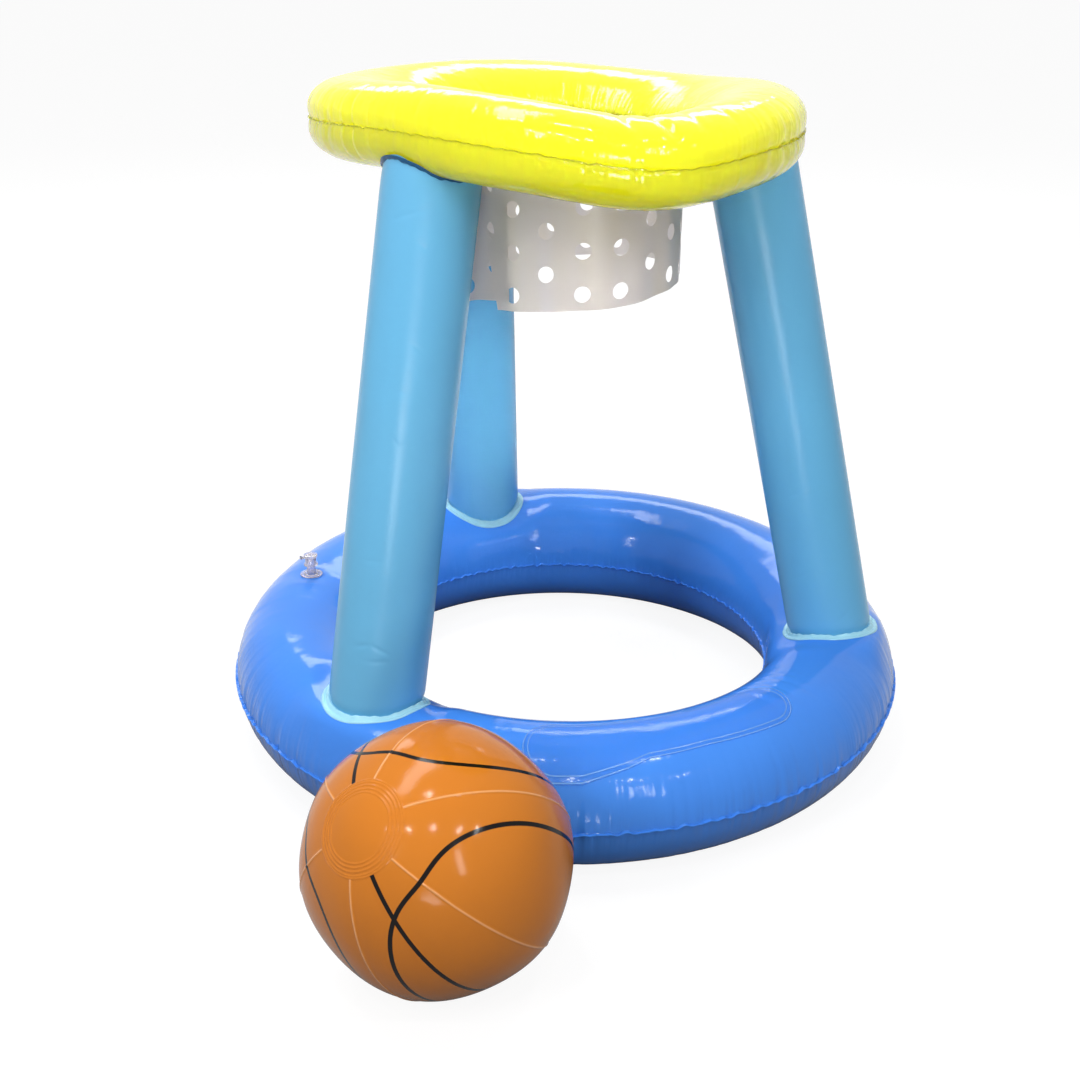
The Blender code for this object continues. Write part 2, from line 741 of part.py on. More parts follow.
RING_SKINS = make_ring()
HOOP_SKINS = make_hoop()
BLOCKS = make_blocks()
make_patch(BLOCKS)
for leg_name, foot, top in zip(LEG_NAMES, LEG_FOOT_TURNS, LEG_TOP_TURNS):
    make_leg(leg_name, foot, top, BLOCKS, HOOP_SKINS[1])
make_net()
make_gores()
make_discs()

BASE_VALVE = base_valve_frame()
HOOP_VALVE = hoop_valve_frame()
BALL_VALVE = ball_valve_frame()
bpy.context.view_layer.update()
make_valve("base_valve", BASE_VALVE, pushed=False)
make_valve("hoop_valve", HOOP_VALVE, pushed=True)
make_valve("ball_valve", BALL_VALVE, pushed=True)
valve_hole("base_valve_hole", BASE_VALVE, RING_SKINS[0])
valve_hole("hoop_valve_hole", HOOP_VALVE, HOOP_SKINS[1])
smooth_all()
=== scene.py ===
# %% [markdown]
# # A floating basketball hoop
# The real toy is cut from flat vinyl film, welded along its edges and blown up. A blue ring
# floats, three light blue legs stand on it, and a yellow hoop with a punched film net crowns them.
# A small ball goes with it. This notebook loads the fixed model, then gives each piece the shape
# and finish of blown-up film: full curves, puckers beside the welds, soft creases and a wet gloss.

# %% Load the fixed model
import math

import bmesh
import bpy
import numpy as np
from mathutils import Matrix, Vector
from mathutils.bvhtree import BVHTree


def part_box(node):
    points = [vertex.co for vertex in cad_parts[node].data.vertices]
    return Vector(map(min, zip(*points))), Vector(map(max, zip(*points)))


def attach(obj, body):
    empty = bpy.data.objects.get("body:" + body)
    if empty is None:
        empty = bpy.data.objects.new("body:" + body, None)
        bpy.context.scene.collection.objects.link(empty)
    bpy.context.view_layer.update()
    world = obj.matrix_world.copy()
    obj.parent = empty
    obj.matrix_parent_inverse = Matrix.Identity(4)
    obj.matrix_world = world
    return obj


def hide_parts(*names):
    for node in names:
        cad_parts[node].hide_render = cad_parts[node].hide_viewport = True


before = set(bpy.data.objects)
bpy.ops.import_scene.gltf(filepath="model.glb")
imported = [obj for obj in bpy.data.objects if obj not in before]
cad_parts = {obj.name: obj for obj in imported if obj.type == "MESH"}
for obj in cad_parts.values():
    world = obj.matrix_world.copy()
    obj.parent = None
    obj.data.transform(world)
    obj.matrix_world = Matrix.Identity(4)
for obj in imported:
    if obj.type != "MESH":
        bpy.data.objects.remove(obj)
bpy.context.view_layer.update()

# %% [markdown]
# The camera stands where the photographer stood, a little above the hoop, and looks down at the
# whole set. A camera in Blender looks along its own -Z, so its matrix is built from three
# directions: right, up and backwards. That is exact, where aiming it by eye would not be.

# %% Camera
CAMERA_PLACE = Vector((0, -1.4038, 0.8667))
CAMERA_YAW = math.radians(-1.0835)
CAMERA_PITCH = math.radians(23.87)
CAMERA_ROLL = math.radians(0.364)


def make_camera():
    forward = Vector(
        (
            math.sin(CAMERA_YAW) * math.cos(CAMERA_PITCH),
            math.cos(CAMERA_YAW) * math.cos(CAMERA_PITCH),
            -math.sin(CAMERA_PITCH),
        )
    )
    level_right = forward.cross(Vector((0, 0, 1))).normalized()
    level_up = level_right.cross(forward)
    right = math.cos(CAMERA_ROLL) * level_right + math.sin(CAMERA_ROLL) * level_up
    up = math.cos(CAMERA_ROLL) * level_up - math.sin(CAMERA_ROLL) * level_right
    lens = bpy.data.cameras.new("camera")
    lens.lens = 50.54
    lens.sensor_width = 36
    lens.clip_end = 200
    camera = bpy.data.objects.new("camera", lens)
    turn = Matrix((right, up, -forward)).transposed().to_4x4()
    camera.matrix_world = Matrix.Translation(CAMERA_PLACE) @ turn
    bpy.context.scene.collection.objects.link(camera)
    bpy.context.scene.camera = camera
    return camera


camera = make_camera()
print("camera at", [round(value, 3) for value in CAMERA_PLACE])

# %% [markdown]
# Glossy film shows its lamps as clear shapes, so the studio has a few small bright lamps for the
# spots in the skin, and long soft ones for the shade. Two weak fill lamps with a narrow spread
# stand in front: one lifts the underside of the hoop, the other the back leg. All their light adds
# up to a plain level, at which a colour renders about as it is written.

# %% Lamps
def add_lamp(name, place, target, width, depth, watts):
    light = bpy.data.lights.new(name, "AREA")
    light.shape = "RECTANGLE"
    light.size = width
    light.size_y = depth
    light.energy = watts
    lamp = bpy.data.objects.new(name, light)
    aim = (Vector(target) - Vector(place)).to_track_quat("-Z", "Y").to_matrix().to_4x4()
    lamp.matrix_world = Matrix.Translation(place) @ aim
    bpy.context.scene.collection.objects.link(lamp)
    return lamp


MIDDLE = (0, 0.05, 0.35)
lamps = [
    add_lamp("roof_lamp", (-0.7, 0.5, 2.6), MIDDLE, 1.5, 0.40, 24),
    add_lamp("left_window", (-2.2, -2.9, 2.6), MIDDLE, 0.45, 1.3, 38),
    add_lamp("right_window", (1.7, -3.2, 2.5), MIDDLE, 0.40, 1.3, 28),
    add_lamp("back_lamp", (-0.3, 2.6, 2.1), MIDDLE, 2.6, 0.6, 32),
]
for number, across in enumerate((-1.7, -0.8, 0.1, 1.0, 1.9)):
    lamps.append(add_lamp(f"front_spot_{number}", (across, -1.7, 2.4), MIDDLE, 0.08, 0.08, 4.5))
for number, across in enumerate((-1.3, -0.3, 0.8)):
    lamps.append(add_lamp(f"middle_spot_{number}", (across, -0.3, 2.7), MIDDLE, 0.15, 0.07, 4.5))
hoop_fill = add_lamp("low_fill", (-0.2, -2.6, 0.35), (-0.01, 0.05, 0.62), 0.8, 0.5, 0.80)
hoop_fill.data.spread = math.radians(30)
leg_fill = add_lamp("leg_fill", (0.65, -1.8, 0.55), (-0.11, 0.33, 0.28), 0.10, 0.20, 0.12)
leg_fill.data.spread = math.radians(10)
lamps += [hoop_fill, leg_fill]
print(len(lamps), "lamps,", sum(lamp.data.energy for lamp in lamps), "watts")

# %% [markdown]
# A catalogue picture has a white ground. The camera, the gloss and the clear plastic see white,
# while the light that the ground sends back up stays low, so that the undersides keep their shade.
# The sky that lights the set is brighter overhead than near the ground, as under a soft ceiling.
# Close under a thing that stands on it, the ground is dim in the gloss too, which an ambient
# occlusion node gives.

# %% Ground and sky
WHITE = (1, 1, 1, 1)
SKY_LIGHT = (0.10, 0.52)
FLOOR_TONE = 0.15
FLOOR_SEEN = 0.90
SHADE_REACH = 0.5
FLOOR_GAP = 0.0005


def filled(tree, node, inputs):
    """The node, with its inputs set to the values given, or linked where they are sockets."""
    for label, value in inputs.items():
        if isinstance(value, bpy.types.NodeSocket):
            tree.links.new(value, node.inputs[label])
        else:
            node.inputs[label].default_value = value
    return node


def maths(tree, operation, *values, clamp=False):
    node = tree.nodes.new("ShaderNodeMath")
    node.operation = operation
    node.use_clamp = clamp
    return filled(tree, node, dict(enumerate(values))).outputs[0]


def mapped(tree, value, low, high, start=0, end=1):
    """The value, spread so that start gives low and end gives high."""
    span = {"Value": value, "From Min": start, "From Max": end, "To Min": low, "To Max": high}
    return filled(tree, tree.nodes.new("ShaderNodeMapRange"), span).outputs["Result"]


def seen_directly(tree):
    """1 for the rays of the camera, of gloss and of clear plastic."""
    rays = tree.nodes.new("ShaderNodeLightPath").outputs
    seen = maths(tree, "MAXIMUM", rays["Is Camera Ray"], rays["Is Glossy Ray"])
    return maths(tree, "MAXIMUM", seen, rays["Is Transmission Ray"])


def dimmed_in_gloss(tree, value):
    """The value, less where a glossy ray meets the ground close under something."""
    gloss = tree.nodes.new("ShaderNodeLightPath").outputs["Is Glossy Ray"]
    free = filled(tree, tree.nodes.new("ShaderNodeAmbientOcclusion"), {"Distance": SHADE_REACH})
    free.samples = 6
    shade = maths(tree, "SUBTRACT", 1, maths(tree, "POWER", free.outputs["AO"], 2))
    return maths(tree, "SUBTRACT", value, maths(tree, "MULTIPLY", gloss, shade), clamp=True)


def make_sky():
    world = bpy.data.worlds.new("studio")
    bpy.context.scene.world = world
    world.use_nodes = True
    tree = world.node_tree
    direction = tree.nodes.new("ShaderNodeTexCoord").outputs["Generated"]
    parts = filled(tree, tree.nodes.new("ShaderNodeSeparateXYZ"), {0: direction})
    light = mapped(tree, parts.outputs["Z"], *SKY_LIGHT)
    strength = maths(tree, "MAXIMUM", light, seen_directly(tree))
    filled(tree, tree.nodes["Background"], {"Color": WHITE, "Strength": strength})


def new_object(name, bm):
    mesh = bpy.data.meshes.new(name)
    bm.to_mesh(mesh)
    bm.free()
    item = bpy.data.objects.new(name, mesh)
    bpy.context.scene.collection.objects.link(item)
    return item


def make_floor():
    material = bpy.data.materials.new("studio_floor")
    material.use_nodes = True
    tree = material.node_tree
    grey = (FLOOR_TONE, FLOOR_TONE, FLOOR_TONE, 1)
    matt = {"Base Color": grey, "Roughness": 1, "Specular IOR Level": 0}
    glow = mapped(tree, dimmed_in_gloss(tree, seen_directly(tree)), 0, FLOOR_SEEN)
    bright = {"Emission Color": WHITE, "Emission Strength": glow}
    filled(tree, tree.nodes["Principled BSDF"], matt | bright)
    bm = bmesh.new()
    bmesh.ops.create_grid(bm, x_segments=1, y_segments=1, size=60)
    bmesh.ops.translate(bm, verts=bm.verts, vec=(0, 0, -FLOOR_GAP))
    floor = new_object("studio_floor", bm)
    floor.data.materials.append(material)


make_sky()
make_floor()
bpy.context.scene.view_settings.view_transform = "Standard"
print("ground and sky set")

# %% [markdown]
# All sizes are in metres and are those of the fixed model. A blown-up tube is an oval in section,
# and its upper and lower films meet in a flat weld lip on the outside and on the inside.

# %% Sizes
WELD = 0.003
LIP = 0.0022
RING_RADIUS = 0.365
RING_HALF_WIDTH = 0.069
RING_HALF_HEIGHT = 0.0657
RING_MIDDLE = RING_RADIUS - WELD - RING_HALF_WIDTH
RING_OVAL = (RING_MIDDLE, RING_HALF_WIDTH, RING_HALF_HEIGHT)
RING_Y = 0.10785
RING_LIFT = (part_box("base_ring_top_skin")[0][2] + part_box("base_ring_bottom_skin")[1][2]) / 2
HOOP_RADIUS = 0.243
HOOP_HALF_WIDTH = 0.0574
HOOP_HALF_HEIGHT = 0.0386
HOOP_CREST_SHIFT = 0.0153
HOOP_MIDDLE = HOOP_RADIUS - WELD - HOOP_HALF_WIDTH
HOOP_OVAL = (HOOP_MIDDLE, HOOP_HALF_WIDTH, HOOP_HALF_HEIGHT)
HOOP_INNER = HOOP_MIDDLE - HOOP_HALF_WIDTH - WELD
HOOP_PLACE = Vector((-0.0113, RING_Y - 0.0055, 0.645))
print("ring centre line", RING_MIDDLE, "hoop centre line", HOOP_MIDDLE, "ring lift", RING_LIFT)

# %% [markdown]
# Most pieces start as a plain round shape made by Blender's operators, and a short function then
# moves its points to the real shape. The helper below does that for every piece: it merges
# doubles, turns the faces outwards, moves the points, stores any values that the finish needs on
# the points, and says which body the piece moves with. A few short helpers for points and outlines
# stand beside it.

# %% Piece helper
MERGE = 0.000001


def read_points(mesh):
    flat = np.empty(len(mesh.vertices) * 3)
    mesh.vertices.foreach_get("co", flat)
    return flat.reshape(-1, 3)


def wrapped(angle):
    """The angle, between half a turn back and half a turn on."""
    return np.remainder(angle + math.pi, math.tau) - math.pi


def bell(away, width):
    return np.exp(-((away / width) ** 2))


def from_polar(angle, radius, z):
    return np.stack((radius * np.cos(angle), radius * np.sin(angle), z), axis=-1)


def placed(matrix, points):
    return points @ np.array(matrix.to_3x3()).T + np.array(matrix.translation)


def pulled_out(bm, faces):
    """Extrude the faces in place and return the new corners, to be moved."""
    made = bmesh.ops.extrude_face_region(bm, geom=faces)["geom"]
    return [item for item in made if isinstance(item, bmesh.types.BMVert)]


def spun(outline, closed, steps):
    """Turn an outline of radius and height round the upright axis, as on a lathe."""
    bm = bmesh.new()
    corners = [bm.verts.new((radius, 0, height)) for radius, height in outline]
    for first, second in zip(corners, corners[1:] + corners[:1] if closed else corners[1:]):
        bm.edges.new((first, second))
    line = bm.verts[:] + bm.edges[:]
    turn = {"cent": (0, 0, 0), "axis": (0, 0, 1), "angle": math.tau}
    bmesh.ops.spin(bm, geom=line, steps=steps, use_merge=True, **turn)
    return bm


def add_piece(name, bm, material, body, nodes, shape=None, sharp=50):
    """Make a piece with the material given.

    The fixed model's materials have the same names, so Blender adds a number after a point."""
    bmesh.ops.remove_doubles(bm, verts=bm.verts, dist=MERGE)
    bmesh.ops.recalc_face_normals(bm, faces=bm.faces)
    piece = new_object(name, bm)
    mesh = piece.data
    if shape:
        points, values = shape(read_points(mesh))
        mesh.vertices.foreach_set("co", np.ascontiguousarray(points, dtype=np.float32).ravel())
        for label, numbers in values.items():
            kind, key = (("FLOAT", "value"), ("FLOAT_VECTOR", "vector"))[numbers.ndim - 1]
            field = mesh.attributes.new(label, kind, "POINT")
            field.data.foreach_set(key, np.ascontiguousarray(numbers, dtype=np.float32).ravel())
    mesh.shade_smooth()
    mesh.set_sharp_from_angle(angle=math.radians(sharp))
    mesh.materials.append(material)
    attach(piece, body)
    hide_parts(*nodes)
    print(name, len(mesh.vertices), "points,", len(mesh.polygons), "faces")
    return piece


# %% [markdown]
# Vinyl film is smooth, but never flat: it has slow dents from its fold lines and a fine unevenness
# that breaks the edge of each highlight. One node group makes both from the place on the piece,
# and every film uses it with its own values. A second group makes the short pleats that stand
# square to a weld, where more film is gathered than the weld is long. They fade with the distance
# from the weld, which each tube stores on its points.

# %% Film node groups
DENT_SCALE = 9
RIPPLE_SCALE = 48
TINT_SCALE = 5
SHORT_PLEAT_SCALE = 120
WIDE_PLEAT_SCALE = 34


def new_group(name, inputs, outputs):
    group = bpy.data.node_groups.new(name, "ShaderNodeTree")
    for label, kind in inputs.items():
        group.interface.new_socket(label, in_out="INPUT", socket_type="NodeSocket" + kind)
    for label in outputs:
        group.interface.new_socket(label, in_out="OUTPUT", socket_type="NodeSocketFloat")
    return group, group.nodes.new("NodeGroupInput"), group.nodes.new("NodeGroupOutput")


def noise(tree, vector, scale, detail=2.0):
    inputs = {"Vector": vector, "Scale": scale, "Detail": detail}
    return filled(tree, tree.nodes.new("ShaderNodeTexNoise"), inputs).outputs["Fac"]


def make_film_group():
    inputs = {"Vector": "Vector", "Dents": "Float", "Ripple": "Float"}
    group, inside, outside = new_group("film_surface", inputs, ("Height", "Tint"))
    slow = noise(group, inside.outputs["Vector"], DENT_SCALE, 1.0)
    fine = noise(group, inside.outputs["Vector"], RIPPLE_SCALE)
    dents = maths(group, "MULTIPLY", slow, inside.outputs["Dents"])
    ripple = maths(group, "MULTIPLY", fine, inside.outputs["Ripple"])
    group.links.new(maths(group, "ADD", dents, ripple), outside.inputs["Height"])
    group.links.new(noise(group, inside.outputs["Vector"], TINT_SCALE), outside.inputs["Tint"])
    return group


def make_pleat_group():
    inputs = {"Around": "Vector", "Distance": "Float", "Reach": "Float", "Depth": "Float"}
    group, inside, outside = new_group("weld_pleats", inputs, ("Height",))
    share = maths(group, "DIVIDE", inside.outputs["Distance"], inside.outputs["Reach"])
    fade = maths(group, "EXPONENT", maths(group, "MULTIPLY", share, -1))
    short = noise(group, inside.outputs["Around"], SHORT_PLEAT_SCALE, 1.0)
    wide = noise(group, inside.outputs["Around"], WIDE_PLEAT_SCALE, 1.0)
    both = maths(group, "ADD", short, maths(group, "MULTIPLY", wide, 1.5))
    deep = maths(group, "MULTIPLY", both, inside.outputs["Depth"])
    group.links.new(maths(group, "MULTIPLY", deep, fade), outside.inputs["Height"])
    return group


film_group = make_film_group()
pleat_group = make_pleat_group()
print("groups", film_group.name, pleat_group.name)

# %% [markdown]
# Each film material is one glossy plastic whose colour drifts a little between two near tones. Its
# bump comes from the groups above. Film is coloured right through, so it has no coat. The yellow
# film is the thinnest in colour: light that falls on the hoop glows through it to the underside,
# which is what subsurface scattering gives.

# %% Film material helper
def place_group(tree, group, **values):
    node = tree.nodes.new("ShaderNodeGroup")
    node.node_tree = group
    return filled(tree, node, values)


def stored(tree, label, output="Fac"):
    node = tree.nodes.new("ShaderNodeAttribute")
    node.attribute_name = label
    return node.outputs[output]


def mixed(tree, factor, first, second):
    node = tree.nodes.new("ShaderNodeMix")
    node.data_type = "RGBA"
    ends = ((*tone, 1) if isinstance(tone, tuple) else tone for tone in (first, second))
    return filled(tree, node, {"Factor": factor, **dict(zip("AB", ends))}).outputs["Result"]


def new_material(name, roughness, gloss):
    material = bpy.data.materials.new(name)
    material.use_nodes = True
    tree = material.node_tree
    surface = {"Roughness": roughness, "Specular IOR Level": gloss}
    shader = filled(tree, tree.nodes["Principled BSDF"], surface)
    place = tree.nodes.new("ShaderNodeTexCoord").outputs["Object"]
    return material, tree, shader, place


def bumped(tree, shader, heights):
    total = heights[0]
    for height in heights[1:]:
        total = maths(tree, "ADD", total, height)
    inputs = {"Strength": 1, "Distance": 1, "Height": total}
    bump = filled(tree, tree.nodes.new("ShaderNodeBump"), inputs)
    tree.links.new(bump.outputs["Normal"], shader.inputs["Normal"])


PLEAT_REACH = 0.02


def film_material(name, tones, roughness, gloss, dents, ripple, pleats=0):
    material, tree, shader, place = new_material(name, roughness, gloss)
    surface = place_group(tree, film_group, Vector=place, Dents=dents, Ripple=ripple)
    tree.links.new(mixed(tree, surface.outputs["Tint"], *tones), shader.inputs["Base Color"])
    heights = [surface.outputs["Height"]]
    if pleats:
        values = {"Around": stored(tree, "around", "Vector"), "Depth": pleats}
        values.update(Distance=stored(tree, "weld_distance"), Reach=PLEAT_REACH)
        heights.append(place_group(tree, pleat_group, **values).outputs["Height"])
    bumped(tree, shader, heights)
    return material


# Two tones; then roughness, gloss and the heights of the dents, of the ripple and of the pleats.
FILMS = {
    "ring_vinyl": ((0.045, 0.225, 0.800), (0.065, 0.280, 0.880), 0.12, 0.20, 0.005, 0.0005, 0.0032),
    "hoop_vinyl": ((0.940, 0.860, 0.008), (0.970, 0.900, 0.012), 0.12, 0.32, 0.005, 0.0010, 0.0022),
    "leg_vinyl": ((0.128, 0.440, 0.720), (0.162, 0.490, 0.770), 0.26, 0.18, 0.003, 0.0003),
    "collar_vinyl": ((0.300, 0.640, 0.800), (0.400, 0.730, 0.860), 0.22, 0.25, 0.002, 0.0006),
    # The top collar's dark blue tones are painted shade, for the hoop's shadow, not the film's own
    # colour.
    "painted_shade_collar_vinyl": ((0.010, 0.075, 0.180), (0.020, 0.110, 0.240), 0.25, 0.15, 0.002, 0.0006),
}
ring_vinyl, hoop_vinyl, leg_vinyl, collar_vinyl, painted_shade_collar_vinyl = (
    film_material(name, values[:2], *values[2:]) for name, values in FILMS.items()
)
hoop_shader = hoop_vinyl.node_tree.nodes["Principled BSDF"]
glow = {"Weight": 0.85, "Radius": (1.0, 0.85, 0.12), "Scale": 0.12}
filled(hoop_vinyl.node_tree, hoop_shader, {"Subsurface " + key: glow[key] for key in glow})
print("film materials ready")

# %% [markdown]
# The ring and the hoop are tubes bent round into a loop. A spin would make them too, but it slows
# down badly past a few hundred steps. So a flat grid is rolled up twice here, first into the oval
# section and then round the middle, and its meeting edges are merged. Its rows crowd together near
# the two welds, where the film has most detail, and the narrow band of faces at each weld is
# pulled out for the lip.

# %% Tube helper
def tube(steps, section_points, middle, half_width, half_height, crest_shift, crowding):
    bm = bmesh.new()
    bmesh.ops.create_grid(bm, x_segments=steps, y_segments=section_points, size=1)
    for vertex in bm.verts:
        angle = math.pi * vertex.co.x
        turn = math.pi * vertex.co.y + math.pi / section_points
        turn -= crowding / 2 * math.sin(2 * turn)
        radius = middle + half_width * math.cos(turn) + crest_shift * abs(math.sin(turn))
        z = half_height * math.sin(turn)
        vertex.co = (radius * math.cos(angle), radius * math.sin(angle), z)
    bmesh.ops.remove_doubles(bm, verts=bm.verts, dist=0.00001)
    band = half_height * math.sin(math.pi / section_points * (1 - crowding)) * 1.5
    for side in (1, -1):
        faces = [
            face
            for face in bm.faces
            if all(
                abs(vertex.co.z) < band and side * (vertex.co.xy.length - middle) > 0
                for vertex in face.verts
            )
        ]
        for vertex in pulled_out(bm, faces):
            vertex.co.xy += vertex.co.xy.normalized() * side * LIP
    return bm


def pleat_wave(angle, counts, seed, sharpness):
    """Narrow valleys, irregular in size, a given count of times round the loop."""
    chance = np.random.default_rng(seed)
    total = np.zeros_like(angle)
    for count in counts:
        phase, drift = chance.uniform(0, math.tau, 2)
        slow = 0.55 + 0.45 * np.sin(chance.integers(3, 11) * angle + drift)
        total += slow * np.clip(np.sin(count * angle + phase), 0, 1) ** sharpness
    return total / len(counts)


def soft_wave(angle, counts, seed):
    chance = np.random.default_rng(seed)
    waves = (np.sin(count * angle + chance.uniform(0, math.tau)) for count in counts)
    return sum(waves) / len(counts)


def segment_distance(u, v, ends):
    (u0, v0), (u1, v1) = ends
    along, up = u1 - u0, v1 - v0
    share = np.clip(((u - u0) * along + (v - v0) * up) / (along**2 + up**2), 0, 1)
    return np.hypot(u - u0 - share * along, v - v0 - share * up), share


SHORT_REACH = 0.014
WIDE_REACH = 0.035
INNER_REACH = 0.016
WELD_REACH = 0.005


def pleated(points, oval, seed, depths, counts, inside=1):
    """Push the film in along the pleats beside both welds, and let the welds run in waves."""
    middle, half_width, half_height = oval
    x, y, z = points.T
    angle, radius = np.arctan2(y, x), np.hypot(x, y)
    outer = np.hypot(radius - middle - half_width, z)
    inner = np.hypot(radius - middle + half_width, z)
    short, wide, within = depths
    push = short * np.exp(-outer / SHORT_REACH) * pleat_wave(angle, counts[0], seed, 4)
    push += wide * np.exp(-outer / WIDE_REACH) * pleat_wave(angle, counts[1], seed + 1, 2)
    push += within * np.exp(-inner / INNER_REACH) * pleat_wave(angle, counts[1], seed + 2, 4)
    normal_out = (radius - middle) / half_width**2
    normal_up = z / half_height**2
    length = np.hypot(normal_out, normal_up)
    on_tube = (radius < middle + half_width + WELD / 4) & (radius > middle - half_width - WELD / 4)
    push = push * on_tube
    radius = radius - push * normal_out / length
    wave = short * 0.7 * soft_wave(angle, counts[0], seed + 3)
    lift = wave * (np.exp(-outer / WELD_REACH) + np.exp(-inner / WELD_REACH))
    z = z - push * normal_up / length + lift
    values = {
        "weld_distance": np.minimum(outer, inner * inside + 0.01 * (inside - 1)),
        "around": from_polar(angle, middle + half_width, 0 * angle),
    }
    return angle, radius, z, values


# %% [markdown]
# Each leg has an axis from a point inside the ring to a point inside the hoop. The film of the
# ring is drawn out flatter where a leg is welded on, because the round weld under air pressure
# wants to be flat.

# %% Leg axes
LEG_ENDS = {
    "front_leg": ((-0.1905, -0.1225), (-0.1197, -0.0244, 0.656)),
    "right_leg": ((0.2974, 0.0554), (0.1706, 0.1397, 0.642)),
    "back_leg": ((-0.1069, 0.3950), (-0.1119, 0.2793, 0.642)),
}


def leg_frame(name):
    foot, top = LEG_ENDS[name]
    start, end = Vector((*foot, RING_LIFT)), Vector(top)
    turn = (end - start).to_track_quat("Z", "Y").to_matrix().to_4x4()
    return Matrix.Translation(start) @ turn, (end - start).length


def step_between(values, low, high):
    share = np.clip((values - low) / (high - low), 0, 1)
    return share * share * (3 - 2 * share)


FLAT_HEIGHT = 0.0560
FLAT_RADII = (0.088, 0.054)


def flattened(points):
    """Draw the ring's upper film towards a plane across each leg."""
    for name in LEG_ENDS:
        matrix = leg_frame(name)[0]
        local = (points - np.array(matrix.translation)) @ np.array(matrix.to_3x3())
        away = np.hypot(local[:, 0], local[:, 1])
        weight = step_between(away, *FLAT_RADII) * step_between(local[:, 2], 0.004, 0.040)
        lift = np.clip((FLAT_HEIGHT - local[:, 2]) * 0.65, -0.004, 0.015) * weight
        points = points + lift[:, None] * np.array(matrix.col[2].xyz)
    return points


print({name: round(leg_frame(name)[1], 4) for name in LEG_ENDS})

# %% [markdown]
# The ring lies on the ground, so the film under it is flat where it touches. Its far side stands a
# little higher, and a dimple holds the valve. Beside the right end of the clear patch, the two
# films shrink unevenly, and short creases cross the top of the tube there.

# %% Ring
RING_PLEATS = ((83, 121, 167), (37, 53, 71, 89))
RING_DEPTHS = (0.0034, 0.0026, 0.0010)
VALVE_TURN = math.radians(171)
DIMPLE_DEPTH = 0.0015
DIMPLE_RADII = (0.012, 0.030)
FAR_TURN = math.radians(75)
FAR_RISE = 0.0040


def ring_rise(angle, radius, z):
    """How much the upper film stands above a plain ring."""
    above = np.clip(z / RING_HALF_HEIGHT, 0, 1)
    far_side = FAR_RISE * np.clip(np.cos(angle - FAR_TURN), 0, 1) ** 2
    from_valve = np.hypot(
        radius * np.cos(angle) - RING_MIDDLE * math.cos(VALVE_TURN),
        radius * np.sin(angle) - RING_MIDDLE * math.sin(VALVE_TURN),
    )
    return above * (far_side + DIMPLE_DEPTH * step_between(from_valve, *DIMPLE_RADII))


CREST_DEPTH = 0.0008
CREST_WIDTH = 0.0024
# Each runs from a turn in degrees and a radius to another turn and radius.
CREST_CREASES = (
    (-51.0, 0.262, -48.5, 0.318),
    (-47.4, 0.254, -45.8, 0.330),
    (-44.4, 0.262, -43.4, 0.316),
    (-41.8, 0.256, -39.6, 0.328),
    (-38.6, 0.266, -37.2, 0.306),
)


def crest_creases(angle, radius):
    depth = 0
    for turn, place, turn_end, place_end in CREST_CREASES:
        ends = (
            (math.radians(turn) * RING_MIDDLE, place),
            (math.radians(turn_end) * RING_MIDDLE, place_end),
        )
        away, part = segment_distance(angle * RING_MIDDLE, radius, ends)
        fade = np.sin(np.clip(part, 0.05, 0.95) * math.pi)
        depth = depth + CREST_DEPTH * bell(away, CREST_WIDTH) * fade
    return depth


def ring_shape(points):
    angle, radius, z, values = pleated(points, RING_OVAL, 11, RING_DEPTHS, RING_PLEATS, inside=3)
    z = z + ring_rise(angle, radius, z) - crest_creases(angle, radius) * (z > 0)
    z = np.maximum(z + RING_LIFT, 0)
    return flattened(from_polar(angle, radius, z) + (0, RING_Y, 0)), values


ring_mesh = tube(1080, 72, *RING_OVAL, 0, 0.85)
ring_nodes = ("base_ring_top_skin", "base_ring_bottom_skin")
ring = add_piece("ring_film", ring_mesh, ring_vinyl, "float", ring_nodes, ring_shape)

# %% [markdown]
# The hoop is a rounded triangle that droops a little at its sharp corner. It is rolled up round
# first, and then each point is moved out or in by the same formula that shapes the fixed model.

# %% Hoop shape
HOOP_CORNER = math.radians(-71)
CORNER_SPREAD = math.radians(17)
OVAL_TURN = math.radians(36)
# Shares of the hoop's radius, then heights and slopes.
LOBE_REACH, CORNER_REACH, OVAL_REACH = 0.040, 0.046, 0.069
INNER_SHARE, INNER_SHIFT = 0.514, 0.0134
LOBE_DROOP, CORNER_DROOP = 0.0036, 0.0076
SLOPE_X, SLOPE_Y = 0.013, 0.043


def bend_to_hoop(angle, radius, z):
    lobe = np.cos(3 * (angle - HOOP_CORNER))
    oval = np.cos(2 * (angle - OVAL_TURN))
    corner = bell(wrapped(angle - HOOP_CORNER), CORNER_SPREAD)
    reach = HOOP_RADIUS * (LOBE_REACH * lobe + CORNER_REACH * corner - OVAL_REACH * oval)
    inward = (HOOP_RADIUS - radius) / (HOOP_RADIUS - HOOP_INNER)
    bent = radius + reach * (1 - (1 - INNER_SHARE) * inward) - INNER_SHIFT * inward * np.sin(angle)
    x, y = bent * np.cos(angle), bent * np.sin(angle)
    z = z - LOBE_DROOP * lobe - CORNER_DROOP * corner - SLOPE_X * x - SLOPE_Y * y
    return np.stack((x, y, z), axis=-1) + np.array(HOOP_PLACE)


print("hoop corner at", bend_to_hoop(HOOP_CORNER, HOOP_RADIUS, 0.0))

# %% [markdown]
# Where the film is bent round the sharp corner, it buckles: one strong crease runs from the outer
# weld over the tube's top, and weaker ones stand beside it. Each is a valley along a line across
# the tube.

# %% Hoop
HOOP_PLEATS = ((61, 97, 139), (29, 43, 57, 73))
HOOP_DEPTHS = (0.0013, 0.0022, 0.0020)
